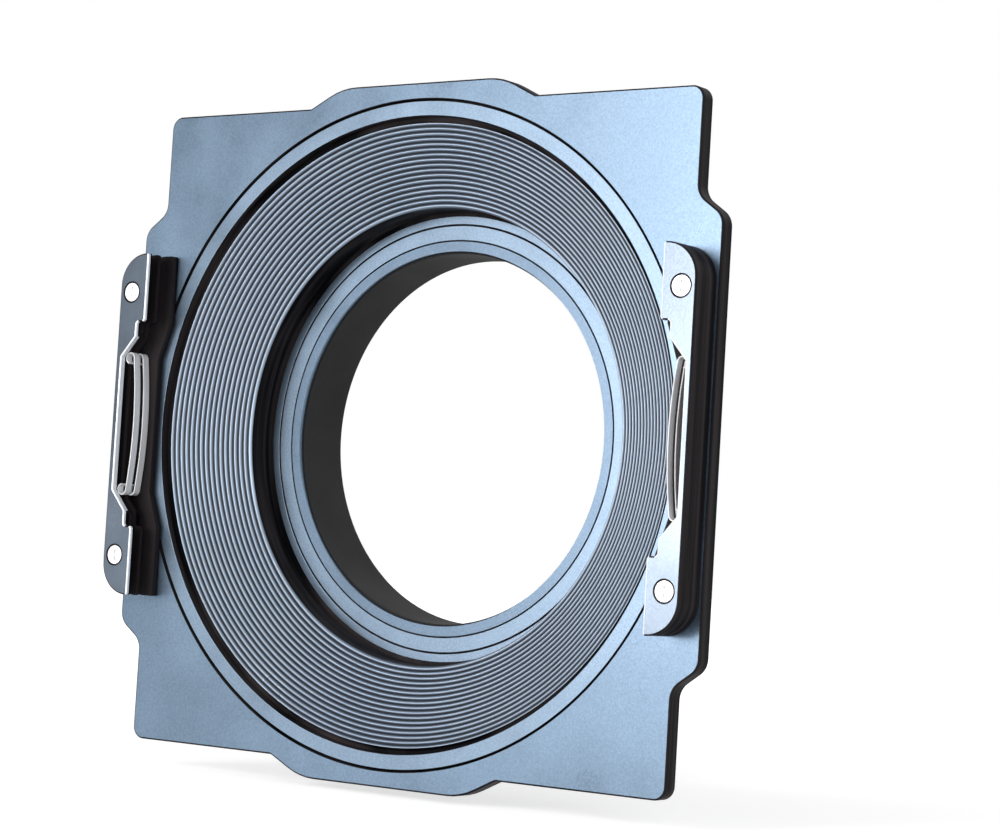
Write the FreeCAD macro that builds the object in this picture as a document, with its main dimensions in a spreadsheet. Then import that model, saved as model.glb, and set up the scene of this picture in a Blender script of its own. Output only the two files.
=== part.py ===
import FreeCAD, Part
import math
import os
import Sketcher

# Square filter holder for an ultra-wide lens.
# The optical axis is Y and the front faces -Y. Z is up and X is to the right, seen from the front.
# The origin is the centre of the lens bore's rear mouth.
# Depths are measured backwards from the plate's front face, and heights forwards from it.

doc = FreeCAD.newDocument("square_filter_holder")
sheet = doc.addObject("Spreadsheet::Sheet", "sizes")

DRIVING_SIZES = [
    ("filter_width", 150.0, "width of the filters that the rails hold"),
    ("filter_thickness", 2.0, "thickness of a filter"),
    ("slot_play", 0.1, "slot height beyond the filter's thickness"),
    ("edge_play", 0.2, "room at each side edge of a filter"),
    ("rail_end_length", 16.5, "rail beyond the notch, at each end"),
    ("rail_end_radius", 7.6, "round of a rail's outer end corners"),
    ("rail_overlap", 2.7, "cover and divider over the filter's edge"),
    ("base_overlap", 4.8, "base strip under the filter's edge, near its ends"),
    ("base_middle_overlap", 1.8, "base strip under the filter's edge, in the middle"),
    ("base_thickness", 1.8, "thickness of a base strip"),
    ("divider_thickness", 1.0, "thickness of a divider"),
    ("cover_chamfer", 0.35, "chamfer round a cover's front face"),
    ("window_bridge", 1.6, "width of rail left outside a window"),
    ("window_half_length", 16.0, "half the window's length at its back wall"),
    ("window_slope_length", 4.9, "length of the slope at each end of a window"),
    ("notch_end_length", 3.6, "shallow notch beyond the window's slope, at each end"),
    ("notch_depth", 2.5, "depth of the shallow notch at the window"),
    ("notch_radius", 0.8, "round of the notch's corners"),
    ("pocket_extra", 2.3, "spring pocket longer than the window, at each end"),
    ("spring_thickness", 0.3, "thickness of the leaf springs' strip"),
    ("spring_side_play", 0.1, "room above and below a spring in its slot"),
    ("spring_grip", 0.1, "how far a relaxed spring stands inside the filter's edge"),
    ("spring_bow", 1.2, "rise of a leaf spring's middle"),
    ("spring_end_room", 2.3, "pocket beyond the spring's curled ends"),
    ("spring_back_room", 0.1, "room behind a spring's curled ends"),
    ("spring_eye_radius", 1.25, "centre-line radius of a spring's curled ends"),
    ("plate_thickness", 4.0, "thickness of the plate"),
    ("plate_side_margin", 0.8, "plate beyond the rails' outer faces"),
    ("bump_margin", 3.7, "plate beyond the counterbore, at the top and bottom bumps"),
    ("bump_rise", 4.5, "rise of the bumps over the plate's corners"),
    ("bump_foot", 31.8, "half the width of a bump at its foot"),
    ("bump_slope_width", 9.0, "width of the slope at each side of a bump"),
    ("side_step_start", 6.4, "plate's wide middle beyond the rail's ends"),
    ("side_step_length", 4.6, "length of the slope from the wide middle to the corner edge"),
    ("bump_radius", 17.0, "broad round of the bump's shoulders"),
    ("side_step_radius", 4.3, "round of both bends of the side step"),
    ("plate_corner_radius", 3.0, "round of the plate's four corners"),
    ("plate_chamfer", 0.3, "chamfer round the plate's front face"),
    ("bore_margin", 1.1, "counterbore's radius beyond the filter's edge"),
    ("bore_gap", 0.5, "visible gap round the flange"),
    ("lip_width", 2.1, "width of the plate's lip behind the flange"),
    ("running_clearance", 0.05, "radial clearance of the two turning fits"),
    ("flange_recess", 0.3, "flange's front face below the plate's"),
    ("flange_thickness", 1.4, "thickness of the flange"),
    ("flange_bore_step", 3.4, "flange's inner edge inside its outer edge"),
    ("glide_thickness", 0.4, "thickness of the glide ring"),
    ("glide_inset", 0.2, "glide ring's edges inside the flange's"),
    ("glide_play", 0.1, "gap between the glide ring and the counterbore's floor"),
    ("axial_play", 0.15, "gap between the plate's back and the retaining ring"),
    ("rib_start_step", 1.5, "first rib's crest inside the flange's inner edge"),
    ("rib_start_depth", 2.1, "depth of the first rib's crest"),
    ("rib_pitch", 1.1, "distance between ribs, along the radius"),
    ("rib_end_step", 0.5, "last rib's crest outside the neck"),
    ("rib_cone_depth", 8.2, "depth gained from the first rib's crest to the last"),
    ("rib_height", 0.55, "height of a rib over its valley"),
    ("neck_edge_drop", 0.6, "neck's front edge behind the last rib's crest"),
    ("neck_front_length", 6.8, "neck from its front edge to the seat ring's face"),
    ("neck_wall", 3.4, "wall of the neck behind the ribs"),
    ("neck_shoulder_drop", 1.8, "outer cone's foot behind the neck's front edge"),
    ("neck_overrun", 0.5, "neck's end behind the start of the collet's taper"),
    ("thread_setback", 2.8, "clamp ring's seat on the neck, behind the seat ring's face"),
    ("thread_relief", 1.0, "that seat inside the neck's outer face"),
    ("thread_wall", 3.5, "wall of the neck's rear end"),
    ("retaining_flange_width", 4.05, "width of the retaining ring's inner flange"),
    ("retaining_rim_length", 1.85, "retaining ring's rim in front of its inner flange"),
    ("retaining_thickness", 1.8, "thickness of the retaining ring's inner flange"),
    ("retaining_reach", 1.4, "retaining ring beyond the plate's counterbore"),
    ("retaining_screw_count", 8, "screws in the retaining ring"),
    ("retaining_screw_inset", 2.0, "retaining screws outside the register"),
    ("retaining_screw_radius", 0.9, "radius of a retaining screw's shank"),
    ("retaining_head_radius", 1.8, "radius of a retaining screw's head"),
    ("retaining_screw_bite", 2.4, "retaining screw's depth in the funnel"),
    ("seat_land", 2.85, "funnel's lip outside the recess that takes the seat ring"),
    ("seat_ring_width", 4.0, "recess for the seat ring outside the collet"),
    ("seat_flange_thickness", 1.5, "thickness of the seat ring's flange"),
    ("seat_step", 1.15, "width of the step under the seat ring's flange"),
    ("lip_thickness", 3.5, "thickness of the funnel's inner lip"),
    ("seat_length", 5.4, "whole length of the seat ring"),
    ("ring_gap", 0.15, "gap round the seat ring and round the collet"),
    ("lens_bore_radius", 43.0, "radius of the bore that goes on the lens"),
    ("collet_wall", 2.25, "wall of the collet's nose"),
    ("collet_shoulder", 2.25, "rise of the collet's shoulder behind the seat ring"),
    ("collet_shoulder_length", 2.0, "length of that shoulder"),
    ("collet_taper_length", 3.5, "length of the collet's tapered tail"),
    ("collet_tail_wall", 1.35, "wall at the end of the tail"),
    ("collet_slit_count", 6, "slits in the collet's tail"),
    ("collet_slit_width", 1.5, "width of a slit"),
    ("collet_slit_length", 7.0, "length of a slit"),
    ("liner_thickness", 0.5, "thickness of the soft sleeve in the collet"),
    ("liner_setback", 1.3, "sleeve's front end behind the collet's"),
    ("liner_length", 14.0, "length of the soft sleeve"),
    ("clamp_wall", 5.5, "wall of the clamp ring outside the neck"),
    ("clamp_front_gap", 0.6, "gap between the clamp ring and the neck's shoulder"),
    ("clamp_back_wall", 3.0, "thickness of the clamp ring's back wall"),
    ("clamp_end_gap", 0.5, "gap between the neck's end and the clamp's back wall"),
    ("clamp_cone_gap", 0.45, "room between the clamp's cone and the collet's tail"),
    ("clamp_chamfer", 0.8, "chamfer of the clamp ring's outer edges"),
    ("grip_count", 30, "grip grooves round the clamp ring"),
    ("grip_radius", 2.0, "radius of a grip groove"),
    ("grip_depth", 0.8, "depth of a grip groove"),
    ("screw_side", 2.0, "rail screws outside the filter's edge"),
    ("screw_end_inset", 9.4, "rail screws inside the rail's ends"),
    ("screw_radius", 1.2, "radius of a rail screw's shank"),
    ("screw_hole_play", 0.05, "radial room round every screw's shank"),
    ("screw_head_radius", 2.5, "radius of a rail screw's head"),
    ("screw_sink", 0.1, "head below the cover's front face"),
    ("screw_bite", 3.0, "rail screw's depth in the plate"),
    ("recess_width", 0.6, "width of the cross recess in a screw's head"),
    ("recess_length", 2.6, "length of the cross recess in a rail screw's head"),
    ("recess_depth", 0.7, "depth of the cross recess"),
]


class Size:
    """A size known both as a number and as the sheet's expression for it."""

    def __init__(self, value, text):
        self.value = value
        self.text = text

    def __add__(self, other):
        other = as_size(other)
        return Size(self.value + other.value, f"({self.text} + {other.text})")

    def __sub__(self, other):
        other = as_size(other)
        return Size(self.value - other.value, f"({self.text} - {other.text})")

    def __mul__(self, other):
        other = as_size(other)
        return Size(self.value * other.value, f"({self.text} * {other.text})")

    def __truediv__(self, other):
        other = as_size(other)
        return Size(self.value / other.value, f"({self.text} / {other.text})")

    def __neg__(self):
        return self * -1

    __radd__ = __add__
    __rmul__ = __mul__


def as_size(number):
    """Lets a plain number stand in a sum with sizes."""
    return number if isinstance(number, Size) else Size(float(number), f"({number})")


def fill_sheet():
    """Writes the driving sizes into the sheet and returns them by name."""
    sizes = {}
    for row, (alias, value, meaning) in enumerate(DRIVING_SIZES, 1):
        sheet.set(f"A{row}", meaning)
        sheet.set(f"B{row}", str(value))
        sheet.setAlias(f"B{row}", alias)
        sizes[alias] = Size(float(value), f"sizes.{alias}")
    doc.recompute()
    return sizes


size = fill_sheet()

# Places along the axis, as depths behind the plate's front face.
rib_end_depth = size["rib_start_depth"] + size["rib_cone_depth"]
neck_edge_depth = rib_end_depth + size["neck_edge_drop"]
neck_shoulder_depth = neck_edge_depth + size["neck_shoulder_drop"]
seat_depth = neck_edge_depth + size["neck_front_length"]
seat_rear = seat_depth + size["seat_length"]
collet_shoulder_front = seat_rear + size["ring_gap"]
collet_shoulder_rear = collet_shoulder_front + size["collet_shoulder_length"]
liner_front = seat_depth + size["liner_setback"]
liner_rear = liner_front + size["liner_length"]
collet_rear = liner_rear + size["liner_thickness"]
collet_taper_front = collet_rear - size["collet_taper_length"]
neck_end = collet_taper_front + size["neck_overrun"]
thread_depth = seat_depth + size["thread_setback"]
clamp_front = thread_depth + size["clamp_front_gap"]
clamp_step = neck_end + size["clamp_end_gap"]
clamp_rear = clamp_step + size["clamp_back_wall"]
flange_rear = size["flange_recess"] + size["flange_thickness"]
bore_depth = flange_rear + size["glide_thickness"] + size["glide_play"]
retaining_front = size["plate_thickness"] + size["axial_play"]
retaining_seat = retaining_front + size["retaining_rim_length"]
retaining_rear = retaining_seat + size["retaining_thickness"]

# Heights of the rail's layers in front of the plate's front face.
slot_height = size["filter_thickness"] + size["slot_play"]
rear_slot_low = size["base_thickness"]
divider_low = rear_slot_low + slot_height
front_slot_low = divider_low + size["divider_thickness"]
cover_low = front_slot_low + slot_height
cover_thickness = size["screw_head_radius"] - size["screw_radius"] + size["screw_sink"]
cover_high = cover_low + cover_thickness

# Distances from the middle plane, measured sideways.
filter_edge = size["filter_width"] / 2
slot_wall = filter_edge + size["edge_play"]
cover_inner = filter_edge - size["rail_overlap"]
notch_side = cover_inner + size["notch_depth"]
spring_crown = filter_edge - size["spring_grip"]
spring_back = spring_crown + size["spring_bow"] + size["spring_eye_radius"] * 2 + size["spring_thickness"]
window_back = spring_back + size["spring_back_room"]
rail_outer = window_back + size["window_bridge"]
plate_half_width = rail_outer + size["plate_side_margin"]
screw_side = filter_edge + size["screw_side"]

# Distances above the middle plane.
window_mouth_end = size["window_half_length"] + size["window_slope_length"]
notch_end = window_mouth_end + size["notch_end_length"]
rail_end = notch_end + size["rail_end_length"]
screw_height = rail_end - size["screw_end_inset"]
pocket_end = size["window_half_length"] + size["pocket_extra"]
spring_end = pocket_end - size["spring_end_room"]
side_step_low = rail_end + size["side_step_start"]
side_step_high = side_step_low + size["side_step_length"]

# Radii of the turned pieces that the plate carries, and the plate's height round them.
bore_radius = filter_edge + size["bore_margin"]
bump_height = bore_radius + size["bump_margin"]
corner_height = bump_height - size["bump_rise"]
flange_radius = bore_radius - size["bore_gap"]
lip_radius = bore_radius - size["lip_width"]
journal_radius = lip_radius - size["running_clearance"]
register_radius = journal_radius - size["retaining_flange_width"]
flange_bore_radius = flange_radius - size["flange_bore_step"]
rib_start_radius = flange_bore_radius - size["rib_start_step"]

# Radii of the turned pieces round the lens.
collet_bore_radius = size["lens_bore_radius"] + size["liner_thickness"]
collet_radius = collet_bore_radius + size["collet_wall"]
collet_shoulder_radius = collet_radius + size["collet_shoulder"]
collet_tail_radius = collet_bore_radius + size["collet_tail_wall"]
seat_bore_radius = collet_radius + size["ring_gap"]
seat_recess_radius = collet_radius + size["seat_ring_width"]
seat_ring_radius = seat_recess_radius - size["ring_gap"]
lip_inner_radius = seat_recess_radius - size["seat_step"]
seat_spigot_radius = lip_inner_radius - size["ring_gap"] * 0.5
neck_radius = seat_recess_radius + size["seat_land"]
rib_end_radius = neck_radius + size["rib_end_step"]
neck_outer_radius = neck_radius + size["neck_wall"]
thread_radius = neck_outer_radius - size["thread_relief"]
neck_rear_bore = thread_radius - size["thread_wall"]
clamp_bore_radius = thread_radius + size["running_clearance"]
clamp_outer_radius = thread_radius + size["clamp_wall"]

MERGE_TOLERANCE = 1e-4
CUT_MARGIN = 2.0
EYE_TURN_DEGREES = 250


def depth(amount):
    """Turns a depth behind the plate's face into a Y coordinate."""
    return as_size(amount) - liner_rear


def forward(height):
    """Turns a height in front of the plate's face into an offset towards -Y."""
    return liner_rear + as_size(height)


def new_body(label):
    """Starts a piece of the holder."""
    body = doc.addObject("PartDesign::Body", label)
    body.Label = label
    return body


def origin_part(body, role):
    """Finds one of the body's own axes or planes."""
    return next(item for item in body.Origin.OriginFeatures if item.Role == role)


def new_sketch(body, name, role, offset=None):
    """Starts a sketch on one of the body's own planes, moved along its normal by an offset."""
    sketch = body.newObject("Sketcher::SketchObject", name)
    sketch.AttachmentSupport = (origin_part(body, role), [""])
    sketch.MapMode = "FlatFace"
    if offset is not None:
        sketch.setExpression("AttachmentOffset.Base.z", offset.text)
    return sketch


def tie(sketch, kind, geometry, vertex, target):
    """Ties one coordinate of a vertex to an expression."""
    index = sketch.addConstraint(Sketcher.Constraint(kind, -1, 1, geometry, vertex, target.value))
    sketch.setExpression(f"Constraints[{index}]", target.text)


def draw_outline(sketch, corners):
    """Draws a closed outline of straight edges, with every corner tied to the sheet."""
    points = [FreeCAD.Vector(across.value, up.value, 0) for across, up in corners]
    count = len(points)
    lines = [Part.LineSegment(points[i], points[(i + 1) % count]) for i in range(count)]
    first = sketch.addGeometry(lines, False)[0]
    for i in range(count):
        after = first + (i + 1) % count
        sketch.addConstraint(Sketcher.Constraint("Coincident", first + i, 2, after, 1))
    for i, (across, up) in enumerate(corners):
        tie(sketch, "DistanceX", first + i, 1, across)
        tie(sketch, "DistanceY", first + i, 1, up)


def draw_circle(sketch, across, up, radius):
    """Draws a circle whose centre and radius are tied to the sheet."""
    centre = FreeCAD.Vector(across.value, up.value, 0)
    circle = Part.Circle(centre, FreeCAD.Vector(0, 0, 1), radius.value)
    index = sketch.addGeometry(circle, False)
    tie(sketch, "DistanceX", index, 3, across)
    tie(sketch, "DistanceY", index, 3, up)
    rule = sketch.addConstraint(Sketcher.Constraint("Radius", index, radius.value))
    sketch.setExpression(f"Constraints[{rule}]", radius.text)


def turned(label, profile):
    """Turns a profile of (radius, depth) corners round the optical axis."""
    body = new_body(label)
    sketch = new_sketch(body, f"{label}_profile", "XY_Plane")
    draw_outline(sketch, [(as_size(radius), depth(place)) for radius, place in profile])
    turning = body.newObject("PartDesign::Revolution", f"{label}_turning")
    turning.Profile = sketch
    turning.ReferenceAxis = (sketch, ["V_Axis"])
    turning.Angle = 360
    doc.recompute()
    return body


def padded(body, name, low, thickness, corners):
    """Raises an outline of (x, z) corners forwards from a height."""
    sketch = new_sketch(body, f"{name}_outline", "XZ_Plane", forward(low))
    draw_outline(sketch, corners)
    pad = body.newObject("PartDesign::Pad", f"{name}_pad")
    pad.Profile = sketch
    pad.setExpression("Length", thickness.text)
    doc.recompute()
    return pad


def cut_from_front(body, name, height, draw, cut_depth=None):
    """Cuts what draw puts in a sketch, backwards from a height, right through or to a depth."""
    sketch = new_sketch(body, f"{name}_outline", "XZ_Plane", forward(height))
    draw(sketch)
    pocket = body.newObject("PartDesign::Pocket", f"{name}_cut")
    pocket.Profile = sketch
    if cut_depth is None:
        pocket.Type = "ThroughAll"
    else:
        pocket.setExpression("Length", cut_depth.text)
    doc.recompute()
    return pocket


def upright_edges(shape, spots):
    """Names the edges along Y that stand at the given (x, z) spots."""
    names = []
    for number, edge in enumerate(shape.Edges, 1):
        start, end = edge.Vertexes[0].Point, edge.Vertexes[-1].Point
        level = abs(start.x - end.x) + abs(start.z - end.z) < MERGE_TOLERANCE
        if not level or abs(start.y - end.y) < MERGE_TOLERANCE:
            continue
        for x, z in spots:
            if abs(start.x - x.value) + abs(start.z - z.value) < 10 * MERGE_TOLERANCE:
                names.append(f"Edge{number}")
    return names


def round_edges(body, name, feature, spots, radius):
    """Rounds the upright edges at the given spots."""
    rounding = body.newObject("PartDesign::Fillet", f"{name}_rounding")
    rounding.Base = (feature, upright_edges(feature.Shape, spots))
    rounding.setExpression("Radius", radius.text)
    doc.recompute()
    return rounding


def front_face(shape):
    """Names the flat face that lies furthest forward."""
    flat = [
        (face.CenterOfMass.y, number)
        for number, face in enumerate(shape.Faces, 1)
        if face.Surface.TypeId == "Part::GeomPlane" and abs(face.normalAt(0, 0).y) > 0.99
    ]
    return f"Face{min(flat)[1]}"


def chamfer_front(body, name, feature, amount):
    """Chamfers every edge of the piece's front face."""
    chamfer = body.newObject("PartDesign::Chamfer", f"{name}_chamfer")
    chamfer.Base = (feature, [front_face(feature.Shape)])
    chamfer.setExpression("Size", amount.text)
    doc.recompute()
    return chamfer


def around(body, name, feature, count):
    """Repeats a cut evenly round the optical axis."""
    pattern = body.newObject("PartDesign::PolarPattern", f"{name}_pattern")
    pattern.Originals = [feature]
    pattern.Axis = (origin_part(body, "Y_Axis"), [""])
    pattern.Angle = 360
    pattern.setExpression("Occurrences", count.text)
    body.Tip = pattern
    doc.recompute()
    return pattern


def mirrored_corners(quarter):
    """Completes an outline from the corners of its upper right quarter, given clockwise."""
    right = quarter + [(x, -z) for x, z in reversed(quarter)]
    return right + [(-x, z) for x, z in reversed(right)]


def make_frame_plate():
    """The stepped plate: wide in the middle of each side, with a lipped bore."""
    corner = (filter_edge, corner_height)
    foot = (size["bump_foot"], corner_height)
    shoulder = (size["bump_foot"] - size["bump_slope_width"], bump_height)
    step_high = (filter_edge, side_step_high)
    step_low = (plate_half_width, side_step_low)
    quarter = [shoulder, foot, corner, step_high, step_low]

    body = new_body("frame_plate")
    back = -size["plate_thickness"]
    blank = padded(body, "plate", back, size["plate_thickness"], mirrored_corners(quarter))
    spots = mirrored_corners([corner])
    blank = round_edges(body, "plate_corner", blank, spots, size["plate_corner_radius"])
    spots = mirrored_corners([step_high, step_low])
    blank = round_edges(body, "side_step", blank, spots, size["side_step_radius"])
    blank = round_edges(body, "bump", blank, mirrored_corners([shoulder]), size["bump_radius"])
    chamfer_front(body, "plate", blank, size["plate_chamfer"])

    def bore(sketch):
        draw_circle(sketch, as_size(0), as_size(0), lip_radius)

    def counterbore(sketch):
        draw_circle(sketch, as_size(0), as_size(0), bore_radius)

    cut_from_front(body, "plate_bore", as_size(0), bore)
    cut_from_front(body, "plate_counterbore", as_size(0), counterbore, bore_depth)
    cut_from_front(body, "plate_screw_holes", as_size(0), draw_plate_screw_holes)


def draw_plate_screw_holes(sketch):
    """The four tapped holes of the rail screws."""
    hole_radius = size["screw_radius"] + size["screw_hole_play"]
    for x, z in mirrored_corners([(screw_side, screw_height)]):
        draw_circle(sketch, x, z, hole_radius)


def rib_profile():
    """Crests and valleys of the ribs, from the flange inwards, up to the last crest.

    As many ribs as come nearest to the wished pitch fill the cone evenly."""
    run = rib_start_radius - rib_end_radius
    steps = round(run.value / size["rib_pitch"].value)
    corners = [(rib_start_radius, size["rib_start_depth"])]
    for number in range(steps):
        valley = (number + 0.5) / steps
        crest = (number + 1) / steps
        valley_depth = size["rib_start_depth"] + size["rib_cone_depth"] * valley + size["rib_height"]
        corners.append((rib_start_radius - run * valley, valley_depth))
        crest_depth = size["rib_start_depth"] + size["rib_cone_depth"] * crest
        corners.append((rib_start_radius - run * crest, crest_depth))
    return corners


def make_funnel():
    """Flange, ribbed cone, neck and inner lip, turned as one piece."""
    groove_floor = size["rib_start_depth"] + size["rib_height"]
    lip_rear = seat_depth + size["lip_thickness"]
    seat_step_depth = seat_depth + size["seat_flange_thickness"]
    front = [
        (flange_radius, size["flange_recess"]),
        (flange_bore_radius, size["flange_recess"]),
        (flange_bore_radius, groove_floor),
        (flange_bore_radius - size["rib_start_step"] / 2, groove_floor),
    ]
    inside = [
        (neck_radius, neck_edge_depth),
        (neck_radius, seat_depth),
        (seat_recess_radius, seat_depth),
        (seat_recess_radius, seat_step_depth),
        (lip_inner_radius, seat_step_depth),
        (lip_inner_radius, lip_rear),
        (neck_rear_bore, lip_rear),
        (neck_rear_bore, neck_end),
    ]
    outside = [
        (thread_radius, neck_end),
        (thread_radius, thread_depth),
        (neck_outer_radius, thread_depth),
        (neck_outer_radius, neck_shoulder_depth),
        (register_radius, retaining_rear),
        (register_radius, retaining_seat),
        (journal_radius, retaining_seat),
        (journal_radius, flange_rear),
        (flange_radius, flange_rear),
    ]
    body = turned("funnel", front + rib_profile() + inside + outside)

    def screw_hole(sketch):
        hole_radius = size["retaining_screw_radius"] + size["screw_hole_play"]
        draw_circle(sketch, retaining_screw_circle(), as_size(0), hole_radius)

    bite = size["retaining_screw_bite"] + size["screw_hole_play"]
    hole = cut_from_front(body, "funnel_screw", bite - retaining_seat, screw_hole, bite)
    around(body, "funnel_screw", hole, size["retaining_screw_count"])


def retaining_screw_circle():
    """Radius of the circle that the retaining screws lie on."""
    return register_radius + size["retaining_screw_inset"]


def make_glide_ring():
    """Low-friction washer behind the flange."""
    inner = journal_radius + size["glide_inset"]
    outer = flange_radius - size["glide_inset"]
    rear = flange_rear + size["glide_thickness"]
    turned("glide_ring", [(inner, flange_rear), (outer, flange_rear), (outer, rear), (inner, rear)])


def make_retaining_ring():
    """Ring behind the plate: its rim keeps the plate on, and screws hold its inner flange."""
    inner = register_radius + size["running_clearance"]
    rim = journal_radius + size["running_clearance"]
    outer = bore_radius + size["retaining_reach"]
    profile = [
        (rim, retaining_front),
        (outer, retaining_front),
        (outer, retaining_rear),
        (inner, retaining_rear),
        (inner, retaining_seat),
        (rim, retaining_seat),
    ]
    body = turned("retaining_ring", profile)
    hole_radius = size["retaining_screw_radius"] + size["screw_hole_play"]
    sink_radius = size["retaining_head_radius"] + size["screw_hole_play"]
    circle = retaining_screw_circle()
    sink = sink_radius - hole_radius
    sketch = new_sketch(body, "retaining_hole_profile", "XY_Plane")
    draw_outline(sketch, [
        (circle, depth(retaining_seat - CUT_MARGIN)),
        (circle + hole_radius, depth(retaining_seat - CUT_MARGIN)),
        (circle + hole_radius, depth(retaining_rear - sink)),
        (circle + sink_radius + CUT_MARGIN, depth(retaining_rear + CUT_MARGIN)),
        (circle, depth(retaining_rear + CUT_MARGIN)),
    ])
    groove = body.newObject("PartDesign::Groove", "retaining_hole")
    groove.Profile = sketch
    groove.ReferenceAxis = (sketch, ["Edge5"])
    groove.Angle = 360
    doc.recompute()
    around(body, "retaining_hole", groove, size["retaining_screw_count"])


def make_seat_ring():
    """Ring that sits flush in the funnel's lip and centres the collet."""
    flange_depth = seat_depth + size["seat_flange_thickness"] - size["ring_gap"]
    turned("seat_ring", [
        (seat_bore_radius, seat_depth),
        (seat_ring_radius, seat_depth),
        (seat_ring_radius, flange_depth),
        (seat_spigot_radius, flange_depth),
        (seat_spigot_radius, seat_rear),
        (seat_bore_radius, seat_rear),
    ])


def make_lens_collet():
    """Slit sleeve round the lens, with a shoulder and a tapered tail."""
    body = turned("lens_collet", [
        (collet_bore_radius, seat_depth),
        (collet_radius, seat_depth),
        (collet_radius, collet_shoulder_front),
        (collet_shoulder_radius, collet_shoulder_front),
        (collet_shoulder_radius, collet_shoulder_rear),
        (collet_radius, collet_shoulder_rear),
        (collet_radius, collet_taper_front),
        (collet_tail_radius, collet_rear),
        (collet_bore_radius, collet_rear),
    ])
    half_slit = size["collet_slit_width"] / 2
    low = collet_bore_radius - CUT_MARGIN
    high = collet_shoulder_radius + CUT_MARGIN
    slit_front = collet_rear - size["collet_slit_length"]

    def slit(sketch):
        right = [(half_slit, low), (half_slit, high)]
        draw_outline(sketch, right + [(-x, z) for x, z in reversed(right)])

    cut = cut_from_front(body, "collet_slit", -slit_front, slit)
    around(body, "collet_slit", cut, size["collet_slit_count"])


def make_collet_liner():
    """Soft sleeve that touches the lens."""
    outer = collet_bore_radius - size["running_clearance"]
    turned("collet_liner", [
        (size["lens_bore_radius"], liner_front),
        (outer, liner_front),
        (outer, liner_rear),
        (size["lens_bore_radius"], liner_rear),
    ])


def make_clamp_ring():
    """Grooved ring that screws up on the neck and closes the collet with its cone."""
    chamfer = size["clamp_chamfer"]
    outer = clamp_outer_radius
    taper = (collet_radius - collet_tail_radius) / size["collet_taper_length"]
    cone_front = collet_radius + size["clamp_cone_gap"]
    cone_front = cone_front - taper * (clamp_step - collet_taper_front)
    cone_rear = cone_front - taper * size["clamp_back_wall"]
    body = turned("clamp_ring", [
        (clamp_bore_radius, clamp_front),
        (outer - chamfer, clamp_front),
        (outer, clamp_front + chamfer),
        (outer, clamp_rear - chamfer),
        (outer - chamfer, clamp_rear),
        (cone_rear, clamp_rear),
        (cone_front, clamp_step),
        (clamp_bore_radius, clamp_step),
    ])

    def grip(sketch):
        place = outer + size["grip_radius"] - size["grip_depth"]
        draw_circle(sketch, place, as_size(0), size["grip_radius"])

    cut = cut_from_front(body, "grip", -clamp_front + CUT_MARGIN, grip)
    around(body, "grip", cut, size["grip_count"])


def rail_blank(label, side, low, thickness):
    """A rail layer's outline before its inner edge is cut."""
    body = new_body(label)
    inner = filter_edge - size["base_overlap"] - CUT_MARGIN
    outer_spots = [(rail_outer * side, rail_end), (rail_outer * side, -rail_end)]
    corners = [(inner * side, -rail_end), outer_spots[1], outer_spots[0], (inner * side, rail_end)]
    pad = padded(body, label, low, thickness, corners)
    blank = round_edges(body, label, pad, outer_spots, size["rail_end_radius"])
    return body, blank


def rail_layer(label, side, low, thickness, inner_edge, notch_spots=()):
    """A rail layer: its inner edge is given as (x, z) from the top end to the middle."""
    body, blank = rail_blank(label, side, low, thickness)
    beyond = rail_end + CUT_MARGIN
    far = filter_edge - size["base_overlap"] - CUT_MARGIN * 2
    top = [(far, beyond), (inner_edge[0][0], beyond)] + inner_edge
    half = [(x * side, z) for x, z in top]
    corners = half + [(x, -z) for x, z in reversed(half)]

    def inside(sketch):
        draw_outline(sketch, corners)

    cut = cut_from_front(body, label, low + thickness, inside)
    if notch_spots:
        spots = [(x * side, z * up) for x, z in notch_spots for up in (1, -1)]
        cut = round_edges(body, f"{label}_notch", cut, spots, size["notch_radius"])
    return body, cut


def drill_layer(body, label, side, height):
    """Drills the two screw holes through a rail layer."""
    hole_radius = size["screw_radius"] + size["screw_hole_play"]

    def holes(sketch):
        for up in (1, -1):
            draw_circle(sketch, screw_side * side, screw_height * up, hole_radius)

    return cut_from_front(body, f"{label}_holes", height, holes)


def window_edge():
    """Inner edge of a cover or divider: notch, slope and window."""
    return [
        (cover_inner, notch_end),
        (notch_side, notch_end),
        (notch_side, window_mouth_end),
        (window_back, size["window_half_length"]),
    ]


def notch_corners():
    """Corners of the notch that are rounded."""
    return [(cover_inner, notch_end), (notch_side, notch_end)]


def spacer_edge():
    """Inner edge of a spacer: the slot's wall and the spring's pocket."""
    slope = window_back - slot_wall
    return [(slot_wall, pocket_end + slope), (window_back, pocket_end)]


def base_edge():
    """Inner edge of a base strip, set back in the middle."""
    ends = filter_edge - size["base_overlap"]
    middle = filter_edge - size["base_middle_overlap"]
    return [(ends, notch_end), (middle, size["window_half_length"])]


def countersink_cover(body, side, feature):
    """Sinks the two screw heads into a cover with cone-shaped cuts."""
    hole_radius = size["screw_radius"] + size["screw_hole_play"]
    sink_radius = size["screw_head_radius"] + size["screw_hole_play"] + size["screw_sink"]
    slope = sink_radius - hole_radius
    for name, up in (("upper", 1), ("lower", -1)):
        sketch = new_sketch(body, f"{body.Label}_{name}_sink", "XY_Plane", screw_height * up)
        centre = screw_side * side
        draw_outline(sketch, [
            (centre, depth(-cover_high + slope)),
            (centre + hole_radius, depth(-cover_high + slope)),
            (centre + sink_radius + CUT_MARGIN, depth(-cover_high - CUT_MARGIN)),
            (centre, depth(-cover_high - CUT_MARGIN)),
        ])
        groove = body.newObject("PartDesign::Groove", f"{body.Label}_{name}_countersink")
        groove.Profile = sketch
        groove.ReferenceAxis = (sketch, ["Edge4"])
        groove.Angle = 360
        doc.recompute()
        feature = groove
    return feature


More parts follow.
